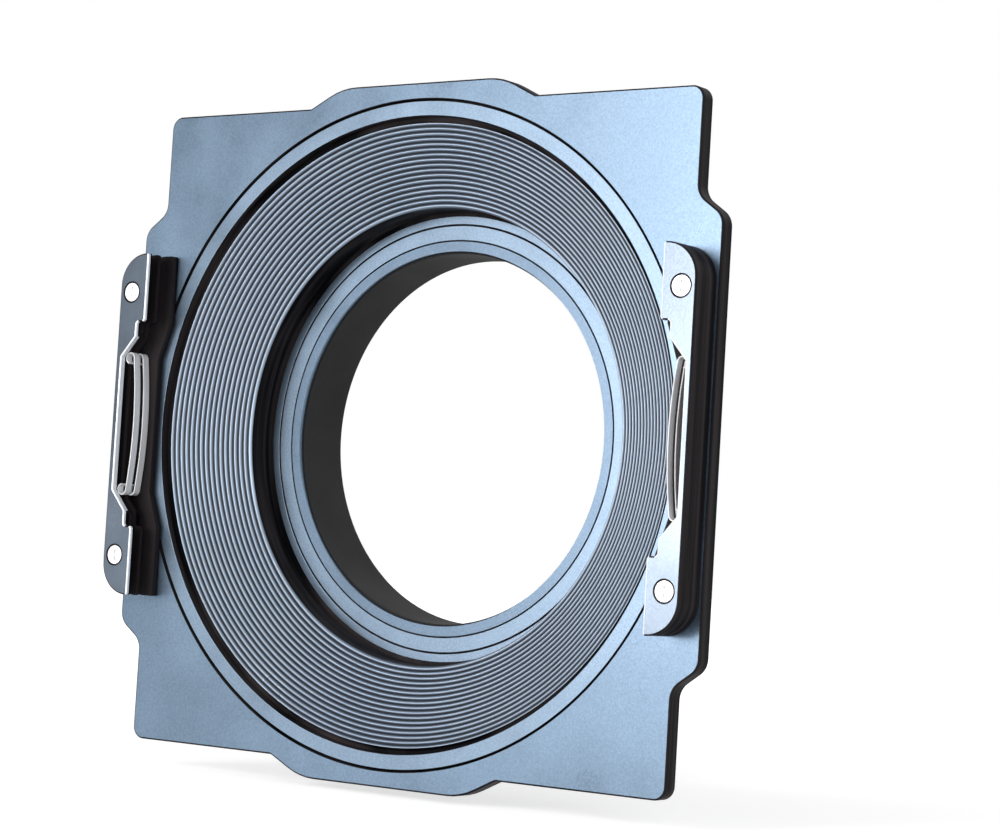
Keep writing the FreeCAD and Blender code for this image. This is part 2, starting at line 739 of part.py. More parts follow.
def make_rail(side_name, side):
    """The five layers of one rail and the leaf spring in each of its slots."""
    layers = [
        ("base_strip", as_size(0), size["base_thickness"], base_edge(), ()),
        ("rear_spacer", rear_slot_low, slot_height, spacer_edge(), ()),
        ("divider", divider_low, size["divider_thickness"], window_edge(), notch_corners()),
        ("front_spacer", front_slot_low, slot_height, spacer_edge(), ()),
        ("cover", cover_low, cover_thickness, window_edge(), notch_corners()),
    ]
    for name, low, thickness, inner_edge, notch_spots in layers:
        label = f"{name}_{side_name}"
        body, feature = rail_layer(label, side, low, thickness, inner_edge, notch_spots)
        if name == "cover":
            feature = chamfer_front(body, label, feature, size["cover_chamfer"])
        drilled = drill_layer(body, label, side, low + thickness)
        if name == "cover":
            countersink_cover(body, side, drilled)
    for name, slot_low in (("rear_spring", rear_slot_low), ("front_spring", front_slot_low)):
        make_leaf_spring(f"{name}_{side_name}", side, slot_low)


def make_leaf_spring(label, side, slot_low):
    """A bowed strip with curled ends, swept along its centre line in the slot's middle plane."""
    half_length = spring_end.value
    bow = size["spring_bow"].value
    eye = size["spring_eye_radius"].value
    bow_radius = (half_length ** 2 + bow ** 2) / (2 * bow)
    end_angle = math.asin(half_length / bow_radius)
    half_thickness = size["spring_thickness"] / 2
    crown = spring_crown + half_thickness
    bow_centre = crown.value + bow_radius
    bow_end_x = bow_centre - bow_radius * math.cos(end_angle)
    eye_centre_x = bow_end_x + eye * math.cos(end_angle)
    eye_centre_z = half_length - eye * math.sin(end_angle)
    strip_height = slot_height - size["spring_side_play"] * 2
    level = depth(-(slot_low + slot_height / 2)).value

    def place(x, z):
        return FreeCAD.Vector(side * x, level, z)

    def eye_point(turn, up):
        x = eye_centre_x - eye * math.cos(end_angle + turn)
        z = eye_centre_z + eye * math.sin(end_angle + turn)
        return place(x, up * z)

    curl = math.radians(EYE_TURN_DEGREES)
    edges = []
    edges.append(Part.Arc(eye_point(curl, 1), eye_point(curl / 2, 1), eye_point(0, 1)).toShape())
    edges.append(Part.Arc(eye_point(0, 1), place(crown.value, 0), eye_point(0, -1)).toShape())
    edges.append(Part.Arc(eye_point(0, -1), eye_point(curl / 2, -1), eye_point(curl, -1)).toShape())
    path = Part.Wire(edges)

    start = path.Vertexes[0].Point
    inward = FreeCAD.Vector(side * eye_centre_x, level, eye_centre_z) - start
    inward.normalize()
    across = inward * half_thickness.value
    upward = FreeCAD.Vector(0, strip_height.value / 2, 0)
    section = Part.makePolygon([
        start - across - upward,
        start + across - upward,
        start + across + upward,
        start - across + upward,
        start - across - upward,
    ])
    spring = doc.addObject("Part::Feature", label)
    spring.Label = label
    spring.Shape = path.makePipeShell([section], True, False)


def cross_recess(name, x, z, face, length):
    """Two crossed bars that cut the recess in a screw's head."""
    arms = ((length, size["recess_width"]), (size["recess_width"], length))
    bars = []
    for turn, (wide, tall) in enumerate(arms):
        bar = doc.addObject("Part::Box", f"{name}_bar_{turn}")
        bar.setExpression("Length", wide.text)
        bar.setExpression("Height", tall.text)
        bar.setExpression("Width", (size["recess_depth"] * 2).text)
        bar.setExpression("Placement.Base.x", (x - wide / 2).text)
        bar.setExpression("Placement.Base.y", (face - size["recess_depth"]).text)
        bar.setExpression("Placement.Base.z", (z - tall / 2).text)
        bars.append(bar)
    return bars


def flat_screw(name, x, z, face, direction, shank_radius, head_radius, length, recess_length):
    """A countersunk screw along Y: direction is 1 when it points backwards from its face."""
    head_height = head_radius - shank_radius
    turn = FreeCAD.Rotation(FreeCAD.Vector(1, 0, 0), -90 * direction)
    head = doc.addObject("Part::Cone", f"{name}_head")
    head.setExpression("Radius1", head_radius.text)
    head.setExpression("Radius2", shank_radius.text)
    head.setExpression("Height", head_height.text)
    shank = doc.addObject("Part::Cylinder", f"{name}_shank")
    shank.setExpression("Radius", shank_radius.text)
    shank.setExpression("Height", length.text)
    for piece in (head, shank):
        piece.Placement = FreeCAD.Placement(FreeCAD.Vector(), turn)
        piece.setExpression("Placement.Base.x", x.text)
        piece.setExpression("Placement.Base.y", face.text)
        piece.setExpression("Placement.Base.z", z.text)
    whole = doc.addObject("Part::MultiFuse", f"{name}_blank")
    whole.Shapes = [head, shank]
    recess = doc.addObject("Part::MultiFuse", f"{name}_recess")
    recess.Shapes = cross_recess(name, x, z, face, recess_length)
    screw = doc.addObject("Part::Cut", name)
    screw.Base = whole
    screw.Tool = recess
    return screw


def make_rail_screws():
    """Four screws that hold the rails' layers on the plate."""
    face = depth(-(cover_high - size["screw_sink"]))
    length = cover_high - size["screw_sink"] + size["screw_bite"]
    screws = []
    spots = mirrored_corners([(screw_side, screw_height)])
    for number, (x, z) in enumerate(spots, 1):
        name = f"rail_screw_{number}"
        sizes = (size["screw_radius"], size["screw_head_radius"], length, size["recess_length"])
        screws.append(flat_screw(name, x, z, face, 1, *sizes))
    group("rail_screws", screws)


def make_retaining_screws():
    """Small screws that hold the retaining ring on the funnel."""
    face = depth(retaining_rear)
    length = size["retaining_thickness"] + size["retaining_screw_bite"]
    count = int(size["retaining_screw_count"].value)
    circle = retaining_screw_circle()
    recess_length = size["retaining_head_radius"]
    screws = []
    for number in range(count):
        angle = 2 * math.pi * number / count
        x = circle * math.cos(angle)
        z = circle * math.sin(angle)
        sizes = (size["retaining_screw_radius"], size["retaining_head_radius"], length, recess_length)
        screws.append(flat_screw(f"retaining_screw_{number + 1}", x, z, face, -1, *sizes))
    group("retaining_screws", screws)


def group(label, pieces):
    """Keeps like fasteners together as separate solids of one node."""
    compound = doc.addObject("Part::Compound", label)
    compound.Label = label
    compound.Links = pieces


def check_and_export():
    """Stops on any failed feature or bad shape, then writes each piece to its own file."""
    doc.recompute()
    for item in doc.Objects:
        if "Invalid" in item.State or "Error" in item.State:
            raise RuntimeError(f"{item.Name} failed: {item.State}")
    os.makedirs("parts", exist_ok=True)
    for label in NODE_LABELS:
        shape = doc.getObjectsByLabel(label)[0].Shape
        if shape.isNull() or not shape.isValid() or not shape.Solids:
            raise RuntimeError(f"{label} has no valid solid")
        shape.exportStep(f"parts/{label}.step")
        print(f"{label}: {len(shape.Solids)} solid(s), {shape.Volume:.1f} cubic mm")


SIDES = (("left", -1), ("right", 1))
RAIL_PIECES = (
    "base_strip",
    "rear_spacer",
    "divider",
    "front_spacer",
    "cover",
    "rear_spring",
    "front_spring",
)
NODE_LABELS = [
    "frame_plate",
    "funnel",
    "glide_ring",
    "retaining_ring",
    "retaining_screws",
    "seat_ring",
    "lens_collet",
    "collet_liner",
    "clamp_ring",
    "rail_screws",
] + [f"{piece}_{side_name}" for side_name, _ in SIDES for piece in RAIL_PIECES]

make_frame_plate()
make_funnel()
make_glide_ring()
make_retaining_ring()
make_retaining_screws()
make_seat_ring()
make_lens_collet()
make_collet_liner()
make_clamp_ring()
for rail_name, rail_side in SIDES:
    make_rail(rail_name, rail_side)
make_rail_screws()
check_and_export()
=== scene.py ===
import math

import bpy
import numpy as np
from bpy.props import FloatProperty, FloatVectorProperty, IntProperty, PointerProperty
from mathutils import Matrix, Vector
from mathutils.geometry import delaunay_2d_cdt


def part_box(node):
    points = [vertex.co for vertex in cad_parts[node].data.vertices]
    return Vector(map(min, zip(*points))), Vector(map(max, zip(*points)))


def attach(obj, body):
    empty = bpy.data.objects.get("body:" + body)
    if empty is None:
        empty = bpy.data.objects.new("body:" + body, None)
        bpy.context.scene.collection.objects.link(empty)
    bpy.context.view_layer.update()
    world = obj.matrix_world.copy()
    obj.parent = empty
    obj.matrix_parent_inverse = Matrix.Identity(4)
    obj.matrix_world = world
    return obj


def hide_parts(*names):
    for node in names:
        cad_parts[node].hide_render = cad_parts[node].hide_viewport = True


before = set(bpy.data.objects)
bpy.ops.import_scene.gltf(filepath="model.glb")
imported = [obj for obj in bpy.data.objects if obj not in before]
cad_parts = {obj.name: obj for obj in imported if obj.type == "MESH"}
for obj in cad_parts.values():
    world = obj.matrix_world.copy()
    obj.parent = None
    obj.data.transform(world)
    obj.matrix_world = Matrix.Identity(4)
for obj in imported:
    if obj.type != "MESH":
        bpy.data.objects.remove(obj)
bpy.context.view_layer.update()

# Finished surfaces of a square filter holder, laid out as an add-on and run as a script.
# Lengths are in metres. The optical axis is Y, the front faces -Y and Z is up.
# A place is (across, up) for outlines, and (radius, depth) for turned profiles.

bl_info = {
    "name": "Square filter holder",
    "version": (1, 0, 0),
    "blender": (4, 5, 0),
    "location": "View3D > Sidebar > Filter holder",
    "description": "Builds the finished surfaces of a square filter holder round its packed frame",
    "category": "Object",
}

MM = 0.001
CLOSE = 0.01 * MM

WELD_DISTANCE = 1e-7
# How squarely a cover's wall must face the axis to take the painted window highlight.
INWARD_SHARE = 0.2
CLOUD_SIZE = 60.0
ROUGHNESS_SPREAD = 0.25
ARC_STEP = math.radians(7.5)
ROUND_STEPS = 3
TURN_SEGMENTS = 240
SIDES = (("left", -1), ("right", 1))
ENDS = (1, -1)
SLANT = math.sqrt(0.5)


def length(label, description, millimetres):
    """A length that the sidebar shows with its unit."""
    return FloatProperty(
        name=label, description=description, default=millimetres * MM, unit="LENGTH", precision=5
    )


def tint(label, description, colour):
    """A colour that the sidebar shows as a swatch, given as linear red, green and blue."""
    return FloatVectorProperty(
        name=label, description=description, default=colour, subtype="COLOR", min=0.0, max=1.0
    )


class PlateSizes(bpy.types.PropertyGroup):
    """Outline and edges of the plate."""

    filter_edge: length("Filter edge", "Half the width of the filters", 75.0)
    bump_foot: length("Bump foot", "Half the width of a bump at its foot", 31.8)
    bump_slope: length("Bump slope", "Width of the slope at each side of a bump", 9.0)
    bump_rise: length("Bump rise", "Rise of the bumps over the corners", 4.5)
    bump_round: length("Bump round", "Round of the bumps' shoulders", 17.0)
    step_low: length("Step low", "Height where the side's slope starts", 47.4)
    step_high: length("Step high", "Height where the side's slope ends", 52.0)
    step_round: length("Step round", "Round of both bends of the side step", 4.3)
    corner_round: length("Corner round", "Round of the four corners", 3.0)
    foot_round: length("Foot round", "Round where a bump rises", 1.2)
    edge_round: length("Edge round", "Round of the outer edges", 0.4)
    bore_margin: length("Bore margin", "Counterbore beyond the filter's edge", 1.1)
    bore_depth: length("Bore depth", "Depth of the counterbore", 2.2)
    bore_edge: length("Bore edge", "Round of the counterbore's edge", 0.12)


class RailSizes(bpy.types.PropertyGroup):
    """Outlines of the rails' layers, measured from the middle of the holder."""

    cover_overlap: length("Cover overlap", "Cover over the filter's edge", 2.7)
    notch_depth: length("Notch depth", "Depth of the shallow notch", 2.5)
    notch_end: length("Notch end", "Half the length of the notch", 24.5)
    notch_round: length("Notch round", "Round of the notch's corners", 0.8)
    window_mouth: length("Window mouth", "Half the window's length at its mouth", 20.9)
    window_end: length("Window end", "Half the window's length at its back", 16.0)
    window_bridge: length("Window bridge", "Rail left outside the window", 1.6)
    bend_round: length("Bend round", "Round of the window's bends", 0.5)
    slot_play: length("Slot play", "Slot's wall beyond the filter's edge", 0.2)
    pocket_end: length("Pocket end", "Half the length of the spring's pocket", 18.3)
    base_overlap: length("Base overlap", "Base under the filter's edge, at the ends", 4.8)
    base_middle: length("Base middle", "Base under the filter's edge, in the middle", 1.8)
    end_round: length("End round", "Round of the outer end corners", 7.6)
    inner_round: length("Inner round", "Round of the inner end corners", 0.6)
    layer_edge: length("Layer edge", "Round of the layers' edges", 0.1)
    # Painted highlight: depth of the near-white strip painted along the front of a cover's inner wall.
    highlight_depth: length("Pale depth", "Depth of the pale finish on a cover's inner wall", 0.75)
    cover_edge: length("Cover edge", "Round of the covers' front edges", 0.35)
    screw_side: length("Screw side", "Rail screws outside the filter's edge", 2.0)
    screw_height: length("Screw height", "Rail screws above and below the middle", 31.6)


class FunnelSizes(bpy.types.PropertyGroup):
    """Profile of the ribbed funnel behind the plate's front."""

    flange_thickness: length("Flange thickness", "Thickness of the flange", 1.4)
    flange_recess: length("Flange recess", "Flange below the plate's front", 0.3)
    flange_width: length("Flange width", "Width of the flange's face", 3.4)
    rib_step: length("Rib step", "First rib inside the flange's face", 1.5)
    rib_depth: length("Rib depth", "Depth of the first rib's crest", 2.1)
    rib_fall: length("Rib fall", "Depth gained from the first rib to the last", 8.2)
    rib_height: length("Rib height", "Height of a rib over its valley", 0.55)
    rib_count: IntProperty(name="Ribs", description="Number of ribs", default=17)
    crest_round: length("Crest round", "Round of the ribs' crests", 0.13)
    neck_radius: length("Neck radius", "Inside radius of the neck", 52.6)
    neck_step: length("Neck step", "Last rib outside the neck", 0.5)
    neck_drop: length("Neck drop", "Neck's edge behind the last rib", 0.6)
    neck_length: length("Neck length", "Neck in front of the seat ring", 6.8)
    # Painted shade: the seat's outer band along the neck's wall is coloured near-black, where the wall shades
    # it.
    seat_shade_band: length("Seat band", "Dark band on the seat along the neck's wall", 1.0)
    edge_round: length("Edge round", "Round of turned edges", 0.15)
    neck_wall: length("Neck wall", "Wall of the neck", 3.4)
    thread_cut: length("Thread cut", "Thread's step under the neck's outside", 1.0)
    thread_wall: length("Thread wall", "Wall under the thread", 3.5)
    thread_start: length("Thread start", "Thread's start behind the seat", 2.8)
    shoulder_start: length("Shoulder start", "Neck's shoulder behind its front end", 1.8)
    lip_step: length("Lip step", "Seat's step between the ring's recess and the lip", 1.15)
    seat_depth: length("Seat depth", "Depth of the seat ring's recess", 1.5)
    lip_depth: length("Lip depth", "Lip's end behind the seat", 3.5)
    seat_gap: length("Seat gap", "Groove round the seat ring", 0.15)
    fit_play: length("Fit play", "Play of the plate and the retaining ring on the funnel", 0.05)


class SpringSizes(bpy.types.PropertyGroup):
    """Leaf springs in the rails' slots."""

    thickness: length("Thickness", "Thickness of the strip", 0.3)
    press: length("Press", "Crown inside the filter's edge", 0.1)
    bow: length("Bow", "Rise of the bow", 1.2)
    half_length: length("Half length", "Half the length of the bow", 16.0)
    eye_radius: length("Eye radius", "Radius of the curled ends", 1.25)
    edge_round: length("Edge round", "Round of the strip's edges", 0.08)
    curl: FloatProperty(
        name="Curl", description="Turn of the curled ends", default=math.radians(250), unit="ROTATION"
    )


class RingSizes(bpy.types.PropertyGroup):
    """Seat ring in front, and the retaining ring and clamp ring behind."""

    spigot_step: length("Spigot step", "Seat ring's spigot inside its edge", 1.075)
    spigot_start: length("Spigot start", "Spigot's start behind the seat ring's face", 1.35)
    seat_round: length("Seat round", "Round of the seat ring's edges", 0.28)
    flange_thickness: length("Flange thickness", "Thickness of the retaining ring's flange", 1.8)
    retaining_edge: length("Retaining edge", "Round of the retaining ring's edges", 0.15)
    screw_inset: length("Screw inset", "Retaining screws outside the ring's inner edge", 2.0)
    screw_count: IntProperty(name="Screws", description="Screws in the retaining ring", default=8)
    clamp_chamfer: length("Clamp chamfer", "Chamfer of the clamp ring's shoulders", 0.8)
    clamp_wall: length("Clamp wall", "Wall of the clamp ring", 5.45)
    cone_length: length("Cone length", "Length of the clamp ring's cone", 3.0)
    cone_rise: length("Cone rise", "Rise of the clamp ring's cone", 0.77)
    clamp_edge: length("Clamp edge", "Round of the clamp ring's edges", 0.2)
    grip_radius: length("Grip radius", "Radius of a grip groove", 2.0)
    grip_depth: length("Grip depth", "Depth of a grip groove", 0.8)
    grip_zone: length("Grip zone", "Depth that the grip may cut", 1.2)
    grip_count: IntProperty(name="Grip grooves", description="Number of grip grooves", default=30)


class ScrewSizes(bpy.types.PropertyGroup):
    """Countersunk screws."""

    rail_head: length("Rail head", "Radius of a rail screw's head", 2.5)
    rail_shank: length("Rail shank", "Radius of a rail screw's shank", 1.2)
    hole_play: length("Hole play", "Room round a shank", 0.05)
    head_sink: length("Head sink", "Head below the cover's face", 0.1)
    ring_head: length("Ring head", "Radius of a retaining screw's head", 1.8)
    ring_shank: length("Ring shank", "Radius of a retaining screw's shank", 0.9)
    recess_width: length("Recess width", "Width of the cross recess", 0.6)
    recess_length: length("Recess length", "Length of a rail screw's recess", 2.6)
    recess_depth: length("Recess depth", "Depth of the cross recess", 0.7)
    recess_round: length("Recess round", "Round of the cross recess's corners", 0.08)
    head_edge: length("Head edge", "Round of a head's edge", 0.3)


class Finishes(bpy.types.PropertyGroup):
    """Colours of the finishes."""

    satin: tint("Satin", "Blasted face of the plate and the turned rings", (0.122, 0.180, 0.250))
    flange: tint("Flange", "Faces of the flange and the seat ring", (0.150, 0.212, 0.285))
    collet: tint("Collet", "Innermost ring", (0.106, 0.156, 0.218))
    cover: tint("Cover", "Smoother face of the rails' covers", (0.112, 0.140, 0.176))
    # Painted shade: this near-black colour darkens walls, edges, slots and recesses of the same anodised
    # metal as the satin faces.
    cut_edge: tint("Cut edge", "Cut edges and inner walls", (0.003, 0.003, 0.004))
    # Painted highlight: grey bands over the edge colour stand in for the light caught on the sides of the
    # plate and rails.
    sheen_band: tint("Edge band", "Tool bands on the cut edges", (0.036, 0.031, 0.033))
    # Painted highlight: near-white colour on the covers' inner walls, where their edge catches the light.
    pale_edge: tint("Pale edge", "Bright edge round the covers' windows", (0.86, 0.90, 0.95))
    # Painted light on the ribs: a pale crest colour as painted highlight, and a near-black valley colour as
    # painted shade.
    crest_highlight: tint("Crest", "Ribs' crests", (0.40, 0.50, 0.63))
    valley_shade: tint("Valley", "Ribs' valleys", (0.018, 0.022, 0.031))
    screw: tint("Screw", "Plated screw heads", (0.86, 0.87, 0.88))
    spring: tint("Spring", "Leaf springs", (0.90, 0.92, 0.95))
    rear: tint("Rear", "Rings behind the plate", (0.03, 0.033, 0.038))
    felt: tint("Felt", "Sleeve round the lens", (0.012, 0.012, 0.013))
    glide: tint("Glide", "Low-friction washer", (0.55, 0.53, 0.48))


def settings(name):
    """One of the groups of sizes and colours above."""
    return getattr(bpy.context.scene, f"holder_{name}")


def reach(node):
    """Inner and outer radius of a turned CAD node round the optical axis."""
    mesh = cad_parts[node].data
    places = np.empty(len(mesh.vertices) * 3)
    mesh.vertices.foreach_get("co", places)
    radius = np.hypot(places[0::3], places[2::3])
    return float(radius.min()), float(radius.max())


def depths(node):
    """Front and back of a CAD node along the optical axis."""
    low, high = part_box(node)
    return low.y, high.y


# Surfaces


def rounded(corners, radii):
    """A closed outline, given anticlockwise, with an arc at each corner.

    Along an arc the normal turns evenly from one edge's to the next one's, and the point is the
    arc's centre plus the radius times that normal. Returns the points and their outward normals."""
    corners = np.asarray(corners, float)
    radii = np.broadcast_to(radii, len(corners))
    points, normals = [], []
    befores, afters = np.roll(corners, 1, axis=0), np.roll(corners, -1, axis=0)
    for before, here, after, radius in zip(befores, corners, afters, radii):
        way_in = (here - before) / np.linalg.norm(here - before)
        way_out = (after - here) / np.linalg.norm(after - here)
        turn = math.atan2(way_in[0] * way_out[1] - way_in[1] * way_out[0], way_in @ way_out)
        steps = max(1, math.ceil(abs(turn) / ARC_STEP)) if radius > 0 else 1
        angle = math.atan2(-way_in[0], way_in[1]) + np.linspace(0, turn, steps + 1)
        normal = np.stack([np.cos(angle), np.sin(angle)], axis=1)
        start = here - way_in * radius * math.tan(abs(turn) / 2)
        offset = math.copysign(radius, turn)
        points.append(start + offset * (normal - normal[0]))
        normals.append(normal)
    return np.concatenate(points), np.concatenate(normals)


def circle(across, up, radius, count=48):
    """Outline of a disc: centre plus radius times (cos, sin) of evenly spaced angles."""
    angle = np.linspace(0, 2 * math.pi, count, endpoint=False)
    normal = np.stack([np.cos(angle), np.sin(angle)], axis=1)
    return np.array([across, up]) + radius * normal, normal


def ring_spots(radius, count):
    """Places evenly spaced on a circle round the optical axis."""
    turns = np.linspace(0, 2 * math.pi, count, endpoint=False)
    return [(radius * math.cos(turn), radius * math.sin(turn)) for turn in turns]


def spread(flat, depth):
    """Joins an array of (across, up) with a depth along the optical axis."""
    return np.stack([flat[..., 0], np.broadcast_to(depth, flat.shape[:-1]), flat[..., 1]], axis=-1)


def hole(outline):
    """The same outline round a hole, with its normals towards the hole."""
    points, normals = outline
    return points, -normals


def mirrored(outline, side):
    """The outline on the right, or its mirror image on the left."""
    points, normals = outline
    return points * (side, 1), normals * (side, 1)


def grid_faces(rows, columns, closed_rows, closed_columns):
    """Corner numbers of the quads between the neighbours of a grid of points."""
    row = np.arange(rows if closed_rows else rows - 1)
    column = np.arange(columns if closed_columns else columns - 1)
    row, column = (part.ravel() for part in np.meshgrid(row, column, indexing="ij"))
    below, beside = (row + 1) % rows, (column + 1) % columns
    corners = [row * columns + column, below * columns + column]
    corners += [below * columns + beside, row * columns + beside]
    return np.stack(corners, axis=1)


class Shell:
    """Patches of faces that know the normal of each corner, welded into one closed mesh."""

    def __init__(self):
        self.points, self.normals, self.faces, self.finishes, self.shades = [], [], [], [], []
        self.count = 0

    def add(self, points, normals, faces, finish, shade=0.0):
        """Adds a patch. finish is the number of its material, for all faces or for each."""
        self.points.append(points.reshape(-1, 3))
        self.normals.append(normals.reshape(-1, 3))
        self.faces.append(faces + self.count)
        self.finishes.append(np.broadcast_to(finish, len(faces)))
        self.shades.append(np.broadcast_to(shade, len(self.points[-1])))
        self.count += len(self.points[-1])

    def build(self, name, materials):
        """Welds coinciding points, turns each face to its corners' normals and makes the object."""
        points = np.concatenate(self.points)
        normals = np.concatenate(self.normals)
        keys = np.round(points / WELD_DISTANCE).astype(np.int64)
        _, first, welded = np.unique(keys, axis=0, return_index=True, return_inverse=True)
        welded = welded.ravel()
        rings, corner_normals, finishes = [], [], []
        for faces, finish in zip(self.faces, self.finishes):
            corners = welded[faces]
            kept = np.all(corners != np.roll(corners, 1, axis=1), axis=1)
            faces, finish = faces[kept], finish[kept]
            place = points[faces]
            facing = np.cross(place[:, 2] - place[:, 0], place[:, -1] - place[:, 1])
            away = np.einsum("ij,ij->i", facing, normals[faces].sum(axis=1)) < 0
            faces = np.where(away[:, None], faces[:, ::-1], faces)
            rings.extend(welded[faces].tolist())
            corner_normals.append(normals[faces].reshape(-1, 3))
            finishes.append(finish)
        mesh = bpy.data.meshes.new(name)
        mesh.from_pydata(points[first].tolist(), [], rings)
        mesh.polygons.foreach_set("material_index", np.concatenate(finishes).astype(np.int32))
        mesh.polygons.foreach_set("use_smooth", np.ones(len(rings), bool))
        # Per point: share of painted highlight, 1 on the ribs' crests and 0 in their valleys, where painted
        # shade goes.
        crest_highlight = mesh.attributes.new("crest_highlight", "FLOAT", "POINT")
        crest_highlight.data.foreach_set("value", np.concatenate(self.shades)[first].astype(np.float32))
        mesh.normals_split_custom_set(np.concatenate(corner_normals).tolist())
        for material in materials:
            mesh.materials.append(material)
        made = bpy.data.objects.new(name, mesh)
        bpy.context.scene.collection.objects.link(made)
        return made


def edge_section(front, back, front_round, back_round):
    """A wall's section from its front face to its back face: quarter round, straight, quarter round.

    Gives how far each station lies inside the outline, its depth, and its normal's share outwards
    and backwards: the sine and cosine of an even turn from one face's normal to the other's."""
    quarter = np.linspace(0, math.pi / 2, ROUND_STEPS + 1)
    inset = np.concatenate([front_round * (1 - np.sin(quarter)), back_round * (1 - np.cos(quarter))])
    level = np.concatenate([
        front + front_round * (1 - np.cos(quarter)),
        back - back_round * (1 - np.sin(quarter)),
    ])
    across = np.concatenate([np.sin(quarter), np.cos(quarter)])
    along = np.concatenate([-np.cos(quarter), np.sin(quarter)])
    return inset, level, across, along


def split_section(section, depth):
    """The same section with one more station on its straight wall, at a depth."""
    inset, level, across, along = section
    spot = ROUND_STEPS + 1
    return (
        np.insert(inset, spot, 0.0),
        np.insert(level, spot, depth),
        np.insert(across, spot, 1.0),
        np.insert(along, spot, 0.0),
    )


def sink_section(front, back, rise, direction=1):
    """Section of a countersunk hole: a cone that narrows by its own depth, then a straight hole."""
    inset = np.array([rise, 0, 0, 0])
    level = np.array([front, front + rise * direction, front + rise * direction, back])
    across = np.array([SLANT, SLANT, 1, 1])
    along = np.array([-SLANT, -SLANT, 0, 0]) * direction
    return inset, level, across, along


def wall(shell, outline, section, finish, shade=0.0):
    """Carries a section along an outline.

    Point(place, station) is the outline's point less the station's inset along its normal."""
    points, normals = outline
    inset, level, across, along = section
    flat = points[:, None, :] - inset[None, :, None] * normals[:, None, :]
    facing = spread(normals[:, None, :] * across[None, :, None], along)
    shell.add(spread(flat, level), facing, grid_faces(len(points), len(inset), True, False), finish, shade)


def rim(outline, section, station):
    """The outline where a section meets a flat face, and its depth."""
    points, normals = outline
    return points - section[0][station] * normals, section[1][station]


def inside(places, rims):
    """Whether each place lies inside the outer rim and outside its holes.

    A line from the place along X crosses the rims an odd number of times."""
    crossings = np.zeros(len(places), int)
    x, z = places[:, :1], places[:, 1:]
    for points, _ in rims:
        after = np.roll(points, -1, axis=0)
        spans = (points[:, 1] > z) != (after[:, 1] > z)
        rise = np.where(after[:, 1] == points[:, 1], 1.0, after[:, 1] - points[:, 1])
        cross = points[:, 0] + (z - points[:, 1]) * (after[:, 0] - points[:, 0]) / rise
        crossings += np.sum(spans & (cross > x), axis=1)
    return crossings % 2 == 1


def cap(shell, rims, facing, finish):
    """A flat face at one depth, between an outer rim and its holes, cut into triangles.

    The triangles are the rims' constrained Delaunay triangles whose centres lie on the face."""
    level = rims[0][1]
    distinct = []
    for points, _ in rims:
        kept = np.linalg.norm(points - np.roll(points, 1, axis=0), axis=1) > WELD_DISTANCE
        distinct.append((points[kept], level))
    counts = [len(points) for points, _ in distinct]
    starts = np.cumsum([0] + counts[:-1])
    edges = [
        (start + i, start + (i + 1) % count) for start, count in zip(starts, counts) for i in range(count)
    ]
    flat = np.concatenate([points for points, _ in distinct])
    found = delaunay_2d_cdt([Vector(place) for place in flat / MM], edges, [], 0, 1e-6)
    triangles = np.array(found[2])
    origin = np.array([ids[0] for ids in found[3]])
    triangles = origin[triangles]
    triangles = triangles[inside(flat[triangles].mean(axis=1), distinct)]
    shell.add(spread(flat, level), np.tile([0.0, facing, 0.0], (len(flat), 1)), triangles, finish)


def slab(shell, outer, section, holes=(), finishes=(0, 1, 0)):
    """A flat piece with its edge section and holes. finishes: front face, walls, back face."""
    walls = [(outer, section)] + list(holes)
    for outline, sides in walls:
        wall(shell, outline, sides, finishes[1])
    cap(shell, [rim(outline, sides, 0) for outline, sides in walls], -1.0, finishes[0])
    cap(shell, [rim(outline, sides, -1) for outline, sides in walls], 1.0, finishes[2])


def turned(shell, profile, finish=0, shade=0.0, groove=None, segments=TURN_SEGMENTS):
    """Carries a (radius, depth) profile round the optical axis.

    Point(angle, station) is (r cos angle, depth, r sin angle). A groove gives, for each angle and
    station, how much the radius shrinks, and the normals follow the slope that this leaves."""
    points, normals = profile
    angle = np.linspace(0, 2 * math.pi, segments, endpoint=False)[:, None]
    radius = np.broadcast_to(points[:, 0], (segments, len(points)))
    slope = np.zeros_like(radius)
    if groove is not None:
        radius = radius - groove(angle, points)
        step = 4 * math.pi / segments
        slope = (np.roll(radius, -1, 0) - np.roll(radius, 1, 0)) / step / radius
    level = np.broadcast_to(points[:, 1], radius.shape)
    grid = np.stack([radius * np.cos(angle), level, radius * np.sin(angle)], axis=-1)
    out = normals[:, 0]
    facing = np.stack([
        out * (np.cos(angle) + slope * np.sin(angle)),
        np.broadcast_to(normals[:, 1], radius.shape),
        out * (np.sin(angle) - slope * np.cos(angle)),
    ], axis=-1)
    facing /= np.linalg.norm(facing, axis=-1, keepdims=True)
    faces = grid_faces(segments, len(points), True, True)
    if np.ndim(finish):
        finish = np.tile(finish, segments)
    if np.ndim(shade):
        shade = np.tile(shade, segments)
    shell.add(grid, facing, faces, finish, shade)


def fitted(piece, body, slot, *nodes):
    """Lets a piece ride on its body in place of its CAD nodes. slot, its finish's slot, is not used."""
    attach(piece, body)
    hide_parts(*nodes)


# Finishes

